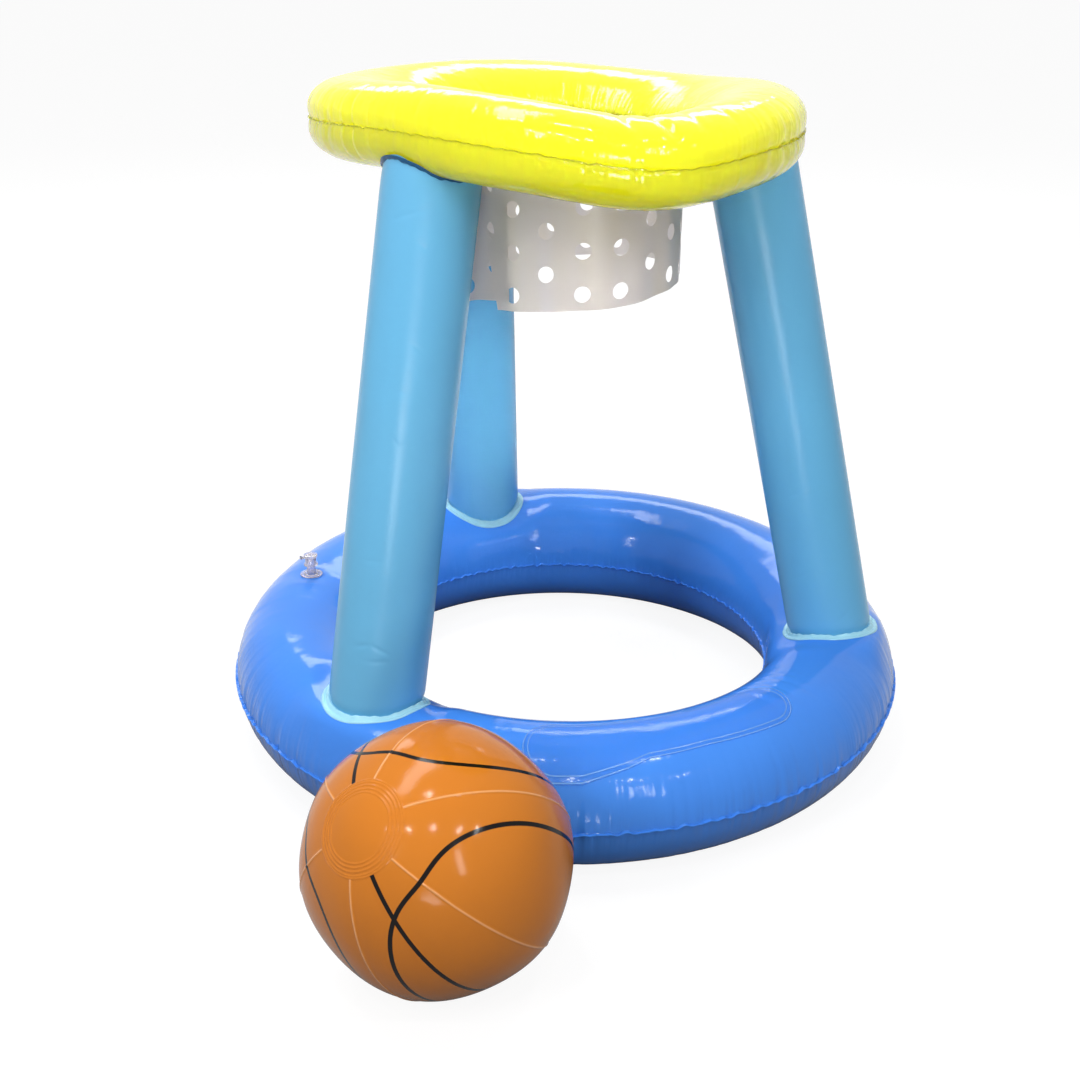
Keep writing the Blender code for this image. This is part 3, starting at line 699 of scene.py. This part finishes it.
# Each has its turn at the weld and further in, in degrees, its depth and its width.
CORNER_CREASES = (
    (-66.0, -70.2, 0.0046, 0.0042),
    (-63.5, -63.0, 0.0012, 0.0040),
    (-70.5, -77.0, 0.0022, 0.0046),
    (-60.0, -55.0, 0.0012, 0.0042),
)


def corner_creases(angle, radius, z):
    """How deep the corner's creases press the upper film in."""
    inward = np.clip((HOOP_RADIUS - radius) / (2 * HOOP_HALF_WIDTH), 0, 1)
    depth = 0
    for turn, turn_end, deep, width in CORNER_CREASES:
        line = np.radians(turn + (turn_end - turn) * (1 - np.exp(-inward / 0.07)))
        away = wrapped(angle - line) * radius
        fade = np.clip(inward * 6, 0.25, 1) * np.clip(2.6 - inward * 4, 0, 1)
        depth = depth + deep * bell(away, width) * fade
    return depth * np.clip(z / 0.006, 0, 1)


def hoop_shape(points):
    angle, radius, z, values = pleated(points, HOOP_OVAL, 29, HOOP_DEPTHS, HOOP_PLEATS)
    z = z - corner_creases(angle, radius, z)
    return bend_to_hoop(angle, radius, z), values


hoop_mesh = tube(900, 64, *HOOP_OVAL, HOOP_CREST_SHIFT, 0.82)
hoop_nodes = ("hoop_top_skin", "hoop_bottom_skin")
hoop = add_piece("hoop_film", hoop_mesh, hoop_vinyl, "float", hoop_nodes, hoop_shape)


def tree_of(piece):
    points = [vertex.co.copy() for vertex in piece.data.vertices]
    return BVHTree.FromPolygons(points, [tuple(face.vertices) for face in piece.data.polygons])


ring_tree, hoop_tree = tree_of(ring), tree_of(hoop)
print("surfaces ready for the legs to stand on")

# %% [markdown]
# A leg is a film tube that stands on the ring and carries the hoop. Its ends have to follow two
# curved surfaces, so from each line along the tube a ray is cast down to the ring and one up to
# the hoop, and the line's points are spread between the two hits. Creases from folding are pressed
# in along short lines, placed where the photograph shows them.

# %% Legs
LEG_SIDES = 160
LEG_ROWS = 280
STEEPEST = 0.42
TUCK_STEP = 0.0004
END_GAP = 0.0006
SEAM_LAP = 0.0007
LEG_RADII = {
    "front_leg": (0.0468, 0.0456),
    "right_leg": (0.0440, 0.0450),
    "back_leg": (0.0455, 0.0446),
}


def hit(tree, matrix, turn, radius, height, way):
    """How far along the axis, and how far from it, a line along the leg meets a film that faces it.

    Beside a film that is too steep, the line moves in towards the axis: the leg tucks under."""
    axis = (matrix.to_3x3() @ Vector((0, 0, way))).normalized()
    while True:
        start = matrix @ Vector((radius * math.cos(turn), radius * math.sin(turn), height))
        place, normal = tree.ray_cast(start, axis)[:2]
        if place is not None and -normal.dot(axis) > STEEPEST:
            return (matrix.inverted() @ place).z, radius
        radius -= TUCK_STEP


def smoothed(values, reach):
    """A running mean round the leg."""
    return sum(np.roll(values, step) for step in range(-reach, reach + 1)) / (2 * reach + 1)


def facing(matrix):
    """The turn of the leg's side that faces the camera, in degrees."""
    towards = matrix.to_3x3().inverted() @ (CAMERA_PLACE - matrix.translation)
    return math.degrees(math.atan2(towards.y, towards.x))


def make_leg(name, seam_turn, creases):
    matrix, length = leg_frame(name)
    face = facing(matrix)
    foot_radius, top_radius = LEG_RADII[name]
    turns = [math.tau * index / LEG_SIDES for index in range(LEG_SIDES)]
    low_radius, high_radius = foot_radius - 0.0018, top_radius - 0.0010
    lows = np.array([hit(ring_tree, matrix, turn, low_radius, length / 2, -1) for turn in turns])
    highs = np.array([hit(hoop_tree, matrix, turn, high_radius, length / 2, 1) for turn in turns])
    tucks = smoothed(high_radius - highs[:, 1], 5)
    lows, highs = lows[:, 0], smoothed(highs[:, 0], 2)
    bm = bmesh.new()
    bmesh.ops.create_cone(bm, cap_ends=False, segments=LEG_SIDES, radius1=1, radius2=1, depth=1)
    upright = [edge for edge in bm.edges if abs(edge.verts[0].co.z - edge.verts[1].co.z) > 1 / 2]
    bmesh.ops.subdivide_edges(bm, edges=upright, cuts=LEG_ROWS, use_grid_fill=True)

    def shape(points):
        angle = np.arctan2(points[:, 1], points[:, 0])
        share = points[:, 2] + 1 / 2
        side = np.round(angle / math.tau * LEG_SIDES).astype(int) % LEG_SIDES
        low, high = lows[side] + END_GAP, highs[side] - END_GAP
        along = low + (high - low) * share
        radius = foot_radius + (top_radius - foot_radius) * along / length
        radius = radius - 0.0026 * bell(along - low, 0.006)
        radius = radius - 0.0012 * np.exp(-(high - along) / 0.010)
        radius = radius - tucks[side] * step_between(high - along, 0.045, 0.002)
        spread = wrapped(angle - math.radians(face + seam_turn))
        lap = SEAM_LAP / (1 + np.exp(-spread * foot_radius / 0.0004))
        radius = radius + lap * np.exp(-np.clip(spread, 0, None) * foot_radius / 0.006)
        for turn, height, turn_end, height_end, depth, width in creases:
            across = wrapped(angle - math.radians(face + (turn + turn_end) / 2)) * foot_radius
            half = math.radians((turn_end - turn) / 2) * foot_radius
            ends = ((-half, height * length), (half, height_end * length))
            away, part = segment_distance(across, along, ends)
            fade = np.sin(np.clip(part, 0.06, 0.94) * math.pi)
            radius = radius - depth * bell(away, width) * fade
        return placed(matrix, from_polar(angle, radius, along)), {}

    add_piece(name + "_film", bm, leg_vinyl, "float", (name,), shape)
    return matrix, length, turns, tucks


# Each crease runs from a turn in degrees, seen from the side that faces the camera, and a share of
# the leg's length to another turn and share; then come its depth and its width.
LEG_CREASES = {
    "front_leg": [
        (-60, 0.958, 12, 0.972, 0.0006, 0.0016),
        (-50, 0.858, 4, 0.888, 0.0007, 0.0014),
        (-9, 0.838, 3, 0.824, 0.0006, 0.0015),
        (2, 0.824, 10, 0.836, 0.0006, 0.0015),
        (-34, 0.735, -12, 0.742, 0.0004, 0.0015),
        (-6, 0.690, 12, 0.676, 0.0005, 0.0015),
        (-25, 0.610, 2, 0.618, 0.0004, 0.0015),
        (-14, 0.545, -4, 0.530, 0.0005, 0.0015),
        (-4, 0.530, 6, 0.542, 0.0005, 0.0015),
        (14, 0.430, 40, 0.446, 0.0004, 0.0015),
        (-38, 0.345, -8, 0.350, 0.0004, 0.0015),
        (-34, 0.205, -14, 0.214, 0.0006, 0.0015),
        (-14, 0.214, 10, 0.200, 0.0006, 0.0015),
        (-20, 0.185, 14, 0.190, 0.0005, 0.0015),
    ],
    "right_leg": [
        (-50, 0.560, -12, 0.590, 0.0004, 0.0016),
        (-36, 0.360, 10, 0.380, 0.0004, 0.0016),
        (-45, 0.210, -5, 0.230, 0.0004, 0.0015),
        (5, 0.120, 42, 0.150, 0.0004, 0.0015),
    ],
    "back_leg": [
        (-22, 0.200, -2, 0.215, 0.0005, 0.0016),
        (-22, 0.260, -4, 0.255, 0.0005, 0.0018),
        (-24, 0.120, -4, 0.130, 0.0005, 0.0016),
    ],
}
LEG_SEAMS = {"front_leg": 170, "right_leg": 160, "back_leg": -20}
legs = {name: make_leg(name, LEG_SEAMS[name], LEG_CREASES[name]) for name in LEG_ENDS}
print({name: round(values[1], 4) for name, values in legs.items()})

# %% [markdown]
# Each leg ends in a welded collar. The foot collar is a flat band on the ring with a folded inner
# edge, and the top collar is a thin rim under the hoop. The top collar is coloured dark blue: that
# is painted shade, for the shadow that the hoop casts on it. A profile is spun round the leg's axis
# as on a lathe. Three lines round the leg are measured on the film that carries it, and the
# profile's points are laid between those lines.

# %% Collars
FOOT_PROFILE = (
    (-0.0050, 0.0004),
    (-0.0022, 0.0016),
    (-0.0006, 0.0030),
    (0.0006, 0.0032),
    (0.0014, 0.0022),
    (0.0020, 0.0010),
    (0.0030, 0.0006),
    (0.0038, 0.0013),
    (0.0050, 0.0017),
    (0.0060, 0.0012),
    (0.0064, 0.0007),
    (0.0064, 0.0002),
    (0.0020, 0.0001),
)
TOP_PROFILE = (
    (-0.0050, 0.0004),
    (-0.0020, 0.0016),
    (0.0002, 0.0024),
    (0.0012, 0.0020),
    (0.0017, 0.0010),
    (0.0017, 0.0002),
    (-0.0020, 0.0001),
)
TOP_STEP = 0.0020
FOOT_STEP = 0.0050


def film_lines(leg, radii, tree, way):
    """How far along the axis the film lies, round the leg, at each of three radii.

    It may rise or fall by one step from radius to radius, so no point climbs a steep side."""
    step = TOP_STEP if way > 0 else FOOT_STEP
    matrix, length, turns, tucks = leg
    lines = []
    for radius in radii:
        reach = radius - tucks if way > 0 else radius + 0 * tucks
        line = [hit(tree, matrix, *spot, length / 2, way)[0] for spot in zip(turns, reach)]
        line = smoothed(np.array(line), 2)
        if lines:
            line = smoothed(lines[-1] + np.clip(line - lines[-1], -step, step), 2)
        lines.append(line)
    return lines


def make_collar(node, leg, leg_radius, profile, tree, way, material, seed):
    matrix, _, turns, tucks = leg
    bm = spun([(leg_radius + out, height) for out, height in profile], True, LEG_SIDES)
    phases = np.random.default_rng(seed).uniform(0, math.tau, 4)
    edge = max(out for out, height in profile)
    radii = (leg_radius - 0.005, leg_radius - 0.0005, leg_radius + edge)
    lines = film_lines(leg, radii, tree, way)

    def shape(points):
        x, y, height = points.T
        turn, radius = np.arctan2(y, x), np.hypot(x, y)
        ruffle = sum(np.sin(count * turn + phase) for count, phase in zip((5, 9, 17, 31), phases))
        near, middle, far = (np.interp(turn, turns, line, period=math.tau) for line in lines)
        inner = np.clip((radius - radii[0]) / (radii[1] - radii[0]), 0, 1)
        outer = np.clip((radius - radii[1]) / (radii[2] - radii[1]), 0, 1)
        along = near + (middle - near) * inner + (far - middle) * outer
        along = along - way * height * (1 + 0.12 * ruffle)
        radius = radius + 0.00008 * ruffle
        if way > 0:
            radius = radius - np.interp(turn, turns, tucks, period=math.tau)
        return placed(matrix, from_polar(turn, radius, along)), {}

    return add_piece(node + "_film", bm, material, "float", (node,), shape, 70)


for seed, (name, leg) in enumerate(legs.items()):
    foot, top = LEG_RADII[name]
    for node, *values in (
        ("_foot_collar", leg, foot, FOOT_PROFILE, ring_tree, -1, collar_vinyl, seed),
        # The top collars get the dark material: painted shade under the hoop.
        ("_top_collar", leg, top, TOP_PROFILE, hoop_tree, 1, painted_shade_collar_vinyl, seed + 7),
    ):
        make_collar(name + node, *values)

# %% [markdown]
# The net of this toy is one strip of milky film with rows of round holes, rolled up under the hoop
# and lapped at its ends. It is made flat, as it is cut in the factory: a fine grid gets a
# thickness, the holes are taken out with one boolean, and only then is the strip rolled, so that
# the holes bend with the film.

# %% Net strip
FILM = 0.0004
NET_DROP = 0.156
NET_LAP = 0.010
NET_LEAD = 0.030
NET_COLUMNS = 23
NET_LAP_TURN = -116
NET_RADIUS = HOOP_INNER + WELD / 2
HOLE_RADIUS = 0.0077
HOLE_PITCH = 0.040
FIRST_HOLE = 0.015


def net_rim(angle):
    return bend_to_hoop(angle, NET_RADIUS, 0.0)


def net_lengths():
    """The length along the net from its lap, at each degree round."""
    angles = np.radians(NET_LAP_TURN + np.arange(361))
    rims = net_rim(angles)[:, :2]
    steps = np.hypot(*(rims[1:] - rims[:-1]).T)
    return np.concatenate(([0], np.cumsum(steps)))


lengths = net_lengths()
strip = float(lengths[-1]) + NET_LAP


def holes_mesh():
    bm = bmesh.new()
    for column in range(-1, NET_COLUMNS):
        first = FIRST_HOLE + HOLE_PITCH / 2 * (column % 3 == 1 or column < 0)
        for row in range(1 if column < 0 else 0, 3):
            spot = (strip / NET_COLUMNS * (column + 1 / 2), 0, first + HOLE_PITCH * row)
            place = Matrix.Translation(spot) @ Matrix.Rotation(math.pi / 2, 4, "X")
            sizes = {"radius1": HOLE_RADIUS, "radius2": HOLE_RADIUS, "depth": 0.01}
            bmesh.ops.create_cone(bm, cap_ends=True, segments=28, matrix=place, **sizes)
    return bm


def strip_mesh():
    bm = bmesh.new()
    size = Matrix.Diagonal((strip + NET_LEAD, NET_DROP, 1, 1))
    place = Matrix.Translation(((strip - NET_LEAD) / 2, -FILM / 2, NET_DROP / 2))
    upright = place @ Matrix.Rotation(math.pi / 2, 4, "X")
    bmesh.ops.create_grid(bm, x_segments=306, y_segments=56, size=1 / 2, matrix=upright @ size)
    bmesh.ops.translate(bm, verts=pulled_out(bm, bm.faces[:]), vec=(0, FILM, 0))
    bmesh.ops.recalc_face_normals(bm, faces=bm.faces)
    return bm


def punched_strip():
    flat, punch = new_object("flat_strip", strip_mesh()), new_object("punch", holes_mesh())
    cut = flat.modifiers.new("holes", "BOOLEAN")
    cut.operation = "DIFFERENCE"
    cut.solver = "MANIFOLD"
    cut.object = punch
    bpy.context.view_layer.update()
    evaluated = flat.evaluated_get(bpy.context.evaluated_depsgraph_get())
    bm = bmesh.new()
    bm.from_mesh(evaluated.to_mesh())
    for item in (flat, punch):
        mesh = item.data
        bpy.data.objects.remove(item)
        bpy.data.meshes.remove(mesh)
    return bm


punched = punched_strip()
print("flat strip", round(strip, 4), "x", NET_DROP, "m,", len(punched.faces), "faces")

# %% [markdown]
# Rolled up, the film hangs in shallow folds that deepen towards the hem. At the lap the end of the
# strip is tucked in behind its start, so its hem shows a little higher there. The start is cut on
# a slant, so it laps further at the top than at the hem.

# %% Net
SLANT = 0.96
TUCK_LENGTH = 0.055
HEM_SLOPE = (0.1075, -0.032)
RIM_BLEND = 0.030


def net_material():
    material, tree, shader, place = new_material("net_film", 0.30, 0.25)
    surface = place_group(tree, film_group, Vector=place, Dents=0.004, Ripple=0.0010)
    stretched = {"Vector": place, "Scale": (1, 1, 0.22)}
    streaks = filled(tree, tree.nodes.new("ShaderNodeMapping"), stretched)
    warmth = noise(tree, streaks.outputs["Vector"], 26)
    tone = mixed(tree, warmth, (0.830, 0.790, 0.840), (0.830, 0.760, 0.620))
    filled(tree, shader, {"Base Color": tone, "Alpha": 0.93, "Transmission Weight": 0.36})
    bumped(tree, shader, [surface.outputs["Height"]])
    return material


def net_shape(points):
    flat, out, height = points.T
    hang = 1 - height / NET_DROP
    inside = np.where(flat < 0, flat * (1 - SLANT * hang), flat)
    wraps = np.floor(inside / lengths[-1])
    degree = np.interp(inside - wraps * lengths[-1], lengths, np.arange(361))
    angle = np.radians(NET_LAP_TURN + 360 * wraps + degree)
    rim = net_rim(angle)
    spiral = (1 / 2 - flat / strip) * 0.0008
    fold = 0.0016 * np.sin(5 * angle + 0.8) + 0.0011 * np.sin(11 * angle + 2.0)
    fold = fold + 0.0006 * np.sin(23 * angle + 0.4)
    tuck = 1 / (1 + np.exp(-(flat - strip + TUCK_LENGTH) / 0.007))
    across = spiral - out + (fold - 0.0045 * tuck) * hang
    hem = HOOP_PLACE.z - NET_DROP + (rim[:, :2] - np.array(HOOP_PLACE.xy)) @ np.array(HEM_SLOPE)
    top = rim[:, 2] - 0.0008
    low = hem + height + 0.0075 * tuck * hang
    blend = np.clip((height - NET_DROP) / RIM_BLEND + 1, 0, 1)
    z = low + (top - hem - NET_DROP) * blend
    return from_polar(angle, across, z) + rim * (1, 1, 0), {}


net = add_piece("net_film", punched, net_material(), "float", ("net",), net_shape, 60)

# %% [markdown]
# The ball is six gores of film between two round end pieces. The gores are flattest along their
# middles and meet in raised seams. A sphere whose meridians fall on the seams is enough: its rows
# and columns are moved closer together where a seam or a ring of the end piece needs them.

# %% Ball shape
BALL_RADIUS = 0.1136
BALL_CENTRE = Vector((-0.1034, RING_Y - 0.4671, BALL_RADIUS))
BALL_SEAM = -12.5
DISC_RADIUS = 0.0392
DISC_RINGS = (0.0388, 0.0370, 0.0340, 0.0310, 0.0280)
CURVE_MIDDLES = (-13.5, 106.5, 226.5)
CURVE_TALL = 55.3
CURVE_WIDE = 48
LINE_HALF = 0.0019
ROUND_LINE_TURN = -43


def ball_matrix():
    turn = Matrix.Rotation(math.radians(-130.4), 4, "Z")
    tip = Matrix.Rotation(math.radians(90 - 41.3), 4, "Y")
    spin = Matrix.Rotation(math.radians(90), 4, "Z")
    return Matrix.Translation(BALL_CENTRE) @ turn @ tip @ spin


def panel_line(polar, azimuth):
    """The signed distance to the nearest of the three closed curves."""
    distances = []
    for middle in CURVE_MIDDLES:
        u = np.degrees(polar) - 90
        v = np.degrees(wrapped(azimuth - math.radians(middle)))
        size = (np.abs(u / CURVE_TALL) ** 3 + np.abs(v / CURVE_WIDE) ** 3) ** (1 / 3)
        size = np.maximum(size, 0.05)
        slope_u = np.abs(u) ** 2 / CURVE_TALL**3 / size**2
        slope_v = np.abs(v) ** 2 / CURVE_WIDE**3 / size**2 / np.maximum(np.sin(polar), 0.05)
        slope = np.hypot(slope_u, slope_v) * 180 / math.pi / BALL_RADIUS
        distances.append((size - 1) / np.maximum(slope, 2))
    return np.minimum.reduce(distances)


def ball_shape(points):
    azimuth = np.arctan2(points[:, 1], points[:, 0])
    polar = np.arccos(np.clip(points[:, 2] / np.linalg.norm(points, axis=1), -1, 1))
    rows = (0, 8, 48, 138, 178, 186)
    marks = np.radians((0, 12.5, 21, 159, 167.5, 180))
    polar = np.interp(polar / math.pi * 186, rows, marks)
    gore = math.tau / 6
    nearest = np.round(azimuth / gore)
    share = azimuth / gore - nearest
    share = share - 0.80 * np.sin(math.tau * share) / math.tau
    azimuth = (nearest + share) * gore + math.radians(BALL_SEAM)
    seam = np.abs(share) * gore * BALL_RADIUS * np.sin(polar)
    from_axis = BALL_RADIUS * np.sin(polar)
    on_gores = np.clip((from_axis - DISC_RADIUS) / 0.001, 0, 1)
    swell = 0.0011 * np.cos(6 * (azimuth - math.radians(BALL_SEAM)))
    radius = BALL_RADIUS + swell * np.sin(polar) ** 2
    radius = radius + 0.0007 * bell(seam, 0.0009) * on_gores
    for ring_radius in DISC_RINGS:
        radius = radius + 0.0005 * bell(from_axis - ring_radius, 0.0007)
    radius = radius + 0.0010 * np.clip(1 - (from_axis / 0.027) ** 2, 0, 1)
    local = from_polar(azimuth, radius * np.sin(polar), radius * np.cos(polar))
    turned = placed(ball_matrix(), local)
    turned[:, 2] = np.maximum(turned[:, 2], 0)
    values = {
        "panel_line": panel_line(polar, azimuth),
        "round_line": from_axis * np.sin(azimuth - math.radians(ROUND_LINE_TURN)),
        "from_axis": from_axis,
        "seam_line": np.where(on_gores > 0, seam, 0.02),
    }
    return turned, values


# %% [markdown]
# The printed lines of a basketball are traditional. Each point of the mesh knows its signed
# distance to them, and the material blackens what lies nearer than half a line's width. A signed
# distance stays straight across the line, so its edge is sharp even between points.

# %% Ball
def near(tree, distance, half_width, softness=0.0002):
    """1 within a half width of a stored line."""
    away = maths(tree, "ABSOLUTE", distance)
    return mapped(tree, away, 1, 0, half_width - softness, half_width + softness)


def ball_material():
    material, tree, shader, place = new_material("ball_vinyl", 0.12, 0.13)
    surface = place_group(tree, film_group, Vector=place, Dents=0.006, Ripple=0.0004)
    film = mixed(tree, surface.outputs["Tint"], (0.550, 0.165, 0.014), (0.640, 0.212, 0.024))
    seam = maths(tree, "MULTIPLY", near(tree, stored(tree, "seam_line"), 0.0008, 0.0004), 0.6)
    welded = mixed(tree, seam, film, (0.85, 0.45, 0.20))
    round_line = near(tree, stored(tree, "round_line"), LINE_HALF)
    off_disc = maths(tree, "GREATER_THAN", stored(tree, "from_axis"), DISC_RADIUS)
    round_line = maths(tree, "MULTIPLY", round_line, off_disc)
    lines = maths(tree, "MAXIMUM", round_line, near(tree, stored(tree, "panel_line"), LINE_HALF))
    tree.links.new(mixed(tree, lines, welded, (0.006, 0.005, 0.005)), shader.inputs["Base Color"])
    bumped(tree, shader, [surface.outputs["Height"]])
    return material


ball_mesh = bmesh.new()
bmesh.ops.create_uvsphere(ball_mesh, u_segments=192, v_segments=186, radius=1)
ball_nodes = [f"ball_gore_{number}" for number in range(1, 7)]
ball_nodes += ["ball_front_disc", "ball_valve_disc"]
add_piece("ball_film", ball_mesh, ball_material(), "ball", ball_nodes, ball_shape)

# %% [markdown]
# On the ring's front lies a bare patch of clear film with round ends, held by a double weld. It is
# a grid that is shaped to the patch's outline and laid on the ring, and each point stores how far
# it is from the edge, so that the material can draw the two weld lines.

# %% Window patch
PATCH_ENDS = (-97, -45)
PATCH_HALF = 0.030
PATCH_WELDS = (0.0012, 0.0052)
PATCH_TURNS = (-97, -87, -80, -76, -66, -54, -44)
PATCH_OUTER = (0.3470, 0.3462, 0.3375, 0.3305, 0.3275, 0.3290, 0.3300)
PATCH_INNER = (0.2780, 0.2780, 0.2750, 0.2740, 0.2720, 0.2690, 0.2680)


def patch_material():
    material, tree, shader, place = new_material("window_vinyl", 0.10, 0.20)
    surface = place_group(tree, film_group, Vector=place, Dents=0.003, Ripple=0.0012)
    edge = stored(tree, "from_edge")
    welds = [near(tree, maths(tree, "SUBTRACT", edge, at), 0.0004, 0.0003) for at in PATCH_WELDS]
    lines = maths(tree, "MAXIMUM", *welds)
    tone = mixed(tree, lines, (0.090, 0.340, 0.900), (0.300, 0.580, 0.980))
    filled(tree, shader, {"Base Color": tone, "Alpha": mapped(tree, lines, 0.15, 0.50)})
    bumped(tree, shader, [surface.outputs["Height"], maths(tree, "MULTIPLY", lines, 0.0003)])
    return material


def patch_shape(points):
    start, end = (math.radians(turn) for turn in PATCH_ENDS)
    angle = (start + end) / 2 + points[:, 0] * (end - start) / 2
    outer = np.interp(np.degrees(angle), PATCH_TURNS, PATCH_OUTER)
    inner = np.interp(np.degrees(angle), PATCH_TURNS, PATCH_INNER)
    straight = (end - start) / 2 * RING_MIDDLE - PATCH_HALF
    beyond = np.clip(np.abs(points[:, 0]) * (straight + PATCH_HALF) - straight, 0, PATCH_HALF)
    rounding = np.sqrt(np.maximum(1 - (beyond / PATCH_HALF) ** 2, 0))
    half = (outer - inner) / 2 * rounding
    radius = (outer + inner) / 2 + points[:, 1] * half
    across = np.abs(points[:, 1]) * rounding
    from_edge = (1 - np.hypot(beyond / PATCH_HALF, across)) * PATCH_HALF
    level = np.sqrt(1 - ((radius - RING_MIDDLE) / RING_HALF_WIDTH) ** 2)
    lift = (np.clip(points[:, 2], 0, 1) + 1) * FILM
    radius = radius + lift * (radius - RING_MIDDLE) / RING_HALF_WIDTH
    z = (RING_HALF_HEIGHT + lift) * level
    z = RING_LIFT + z + ring_rise(angle, radius, z) - crest_creases(angle, radius)
    return from_polar(angle, radius, z) + (0, RING_Y, 0), {"from_edge": from_edge}


patch_mesh = bmesh.new()
bmesh.ops.create_grid(patch_mesh, x_segments=260, y_segments=64, size=1)
bmesh.ops.translate(patch_mesh, verts=pulled_out(patch_mesh, patch_mesh.faces[:]), vec=(0, 0, 1))
patch_nodes = ("window_patch",)
add_piece("window_patch_film", patch_mesh, patch_material(), "float", patch_nodes, patch_shape)

# %% [markdown]
# An air valve is moulded in clear soft vinyl: a flange on the film, a stem that pushes in, a
# stopper on a strap, and a flap inside. The three valves are alike, so one function turns each
# from its outline and softens its corners.

# %% Valves
STROKE = 0.0190
HINGE_REACH = 0.0115


def valve_material():
    material, tree, shader, place = new_material("valve_vinyl", 0.14, 0.5)
    surface = place_group(tree, film_group, Vector=place, Dents=0.0006, Ripple=0.0003)
    tone = mixed(tree, surface.outputs["Tint"], (0.930, 0.890, 0.940), (0.960, 0.920, 0.960))
    filled(tree, shader, {"Base Color": tone, "Transmission Weight": 0.80, "IOR": 1.45})
    bumped(tree, shader, [surface.outputs["Height"]])
    return material


valve_vinyl = valve_material()
FLANGE = ((0.0125, 0.0008), (0.0125, 0), (0.0083, 0), (0.0083, 0.0008))
STEM = (
    (0.0062, 0.0215),
    (0.0062, 0.0130),
    (0.0080, 0.0130),
    (0.0080, 0.0115),
    (0.0050, 0.0115),
    (0.0050, 0.0008),
    (0.0080, 0.0008),
    (0.0080, 0),
    (0.0050, 0),
    (0.0050, -0.008),
    (0.0034, -0.008),
    (0.0034, 0.0215),
)
STOPPER = (
    (0, 0.0242),
    (0.0078, 0.0242),
    (0.0078, 0.0218),
    (0.0031, 0.0218),
    (0.0025, 0.0173),
    (0, 0.0173),
)


def lathe_turned(outline, closed):
    bm = spun(outline, closed, 40)
    bmesh.ops.remove_doubles(bm, verts=bm.verts, dist=0.00001)
    bmesh.ops.recalc_face_normals(bm, faces=bm.faces)
    soften(bm, [edge for edge in bm.edges if edge.calc_face_angle(0) > math.radians(40)])
    return bm


def soften(bm, edges):
    bmesh.ops.bevel(
        bm,
        geom=edges,
        offset=0.00022,
        offset_type="OFFSET",
        affect="EDGES",
        segments=2,
        profile=0.5,
        material=-1,
        clamp_overlap=True,
    )


def add_strap(bm, inner, floor):
    """A flat tongue from the round piece out to the hinge, with a wider bar at its end."""
    for start, end, width in ((inner, HINGE_REACH, 0.0040), (0.0098, 0.0122, 0.0052)):
        bar = bmesh.ops.create_cube(bm, size=1)["verts"]
        bmesh.ops.scale(bm, verts=bar, vec=(end - start, width, 0.0010))
        bmesh.ops.translate(bm, verts=bar, vec=((start + end) / 2, 0, floor + 0.00055))
        soften(bm, list({edge for vertex in bar for edge in vertex.link_edges}))


def add_valve(name, matrix, travel, *bodies):
    """Turn the flange, stem and stopper, each on its own body, and give the flap its finish."""
    slid = matrix @ Matrix.Translation((0, 0, travel))
    kinds = (
        ("flange", FLANGE, True, None, matrix),
        ("stem", STEM, True, (0.0058, 0.0204), slid),
        ("stopper", STOPPER, False, (0.0060, 0.0218), slid),
    )
    for (kind, outline, closed, strap, place), body in zip(kinds, bodies):
        bm = lathe_turned(outline, closed)
        if strap:
            add_strap(bm, *strap)
        bm.transform(place)
        node = f"{name}_{kind}"
        add_piece(node + "_soft", bm, valve_vinyl, body, (node,))
    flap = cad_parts[name + "_flap"]
    flap.data.materials.clear()
    flap.data.materials.append(valve_vinyl)


def axes_matrix(place, across, outward):
    """A frame from its place, its hinge direction and its outward direction."""
    z = Vector(outward).normalized()
    y = Vector(across).normalized()
    x = y.cross(z)
    return Matrix.Translation(place) @ Matrix((x, y, z)).transposed().to_4x4()


BASE_VALVE = axes_matrix((-0.28939, 0.15369, 0.1313), (0.34202, -0.93969, 0), (0, 0, 1))
HOOP_VALVE = axes_matrix(
    (0.06923, 0.27513, 0.59548), (-0.61859, -0.78404, 0.05127), (-0.05055, -0.02541, -0.9984)
)
BALL_VALVE = axes_matrix(
    (-0.0476, -0.29369, 0.03796), (0.76154, -0.64812, 0), (0.48691, 0.57212, -0.66)
)
add_valve("base_valve", BASE_VALVE, 0, "float", "base_stem", "base_stopper")
add_valve("hoop_valve", HOOP_VALVE, -STROKE, "float", "hoop_stem", "hoop_stopper")
add_valve("ball_valve", BALL_VALVE, -STROKE, "ball", "ball_stem", "ball_stopper")
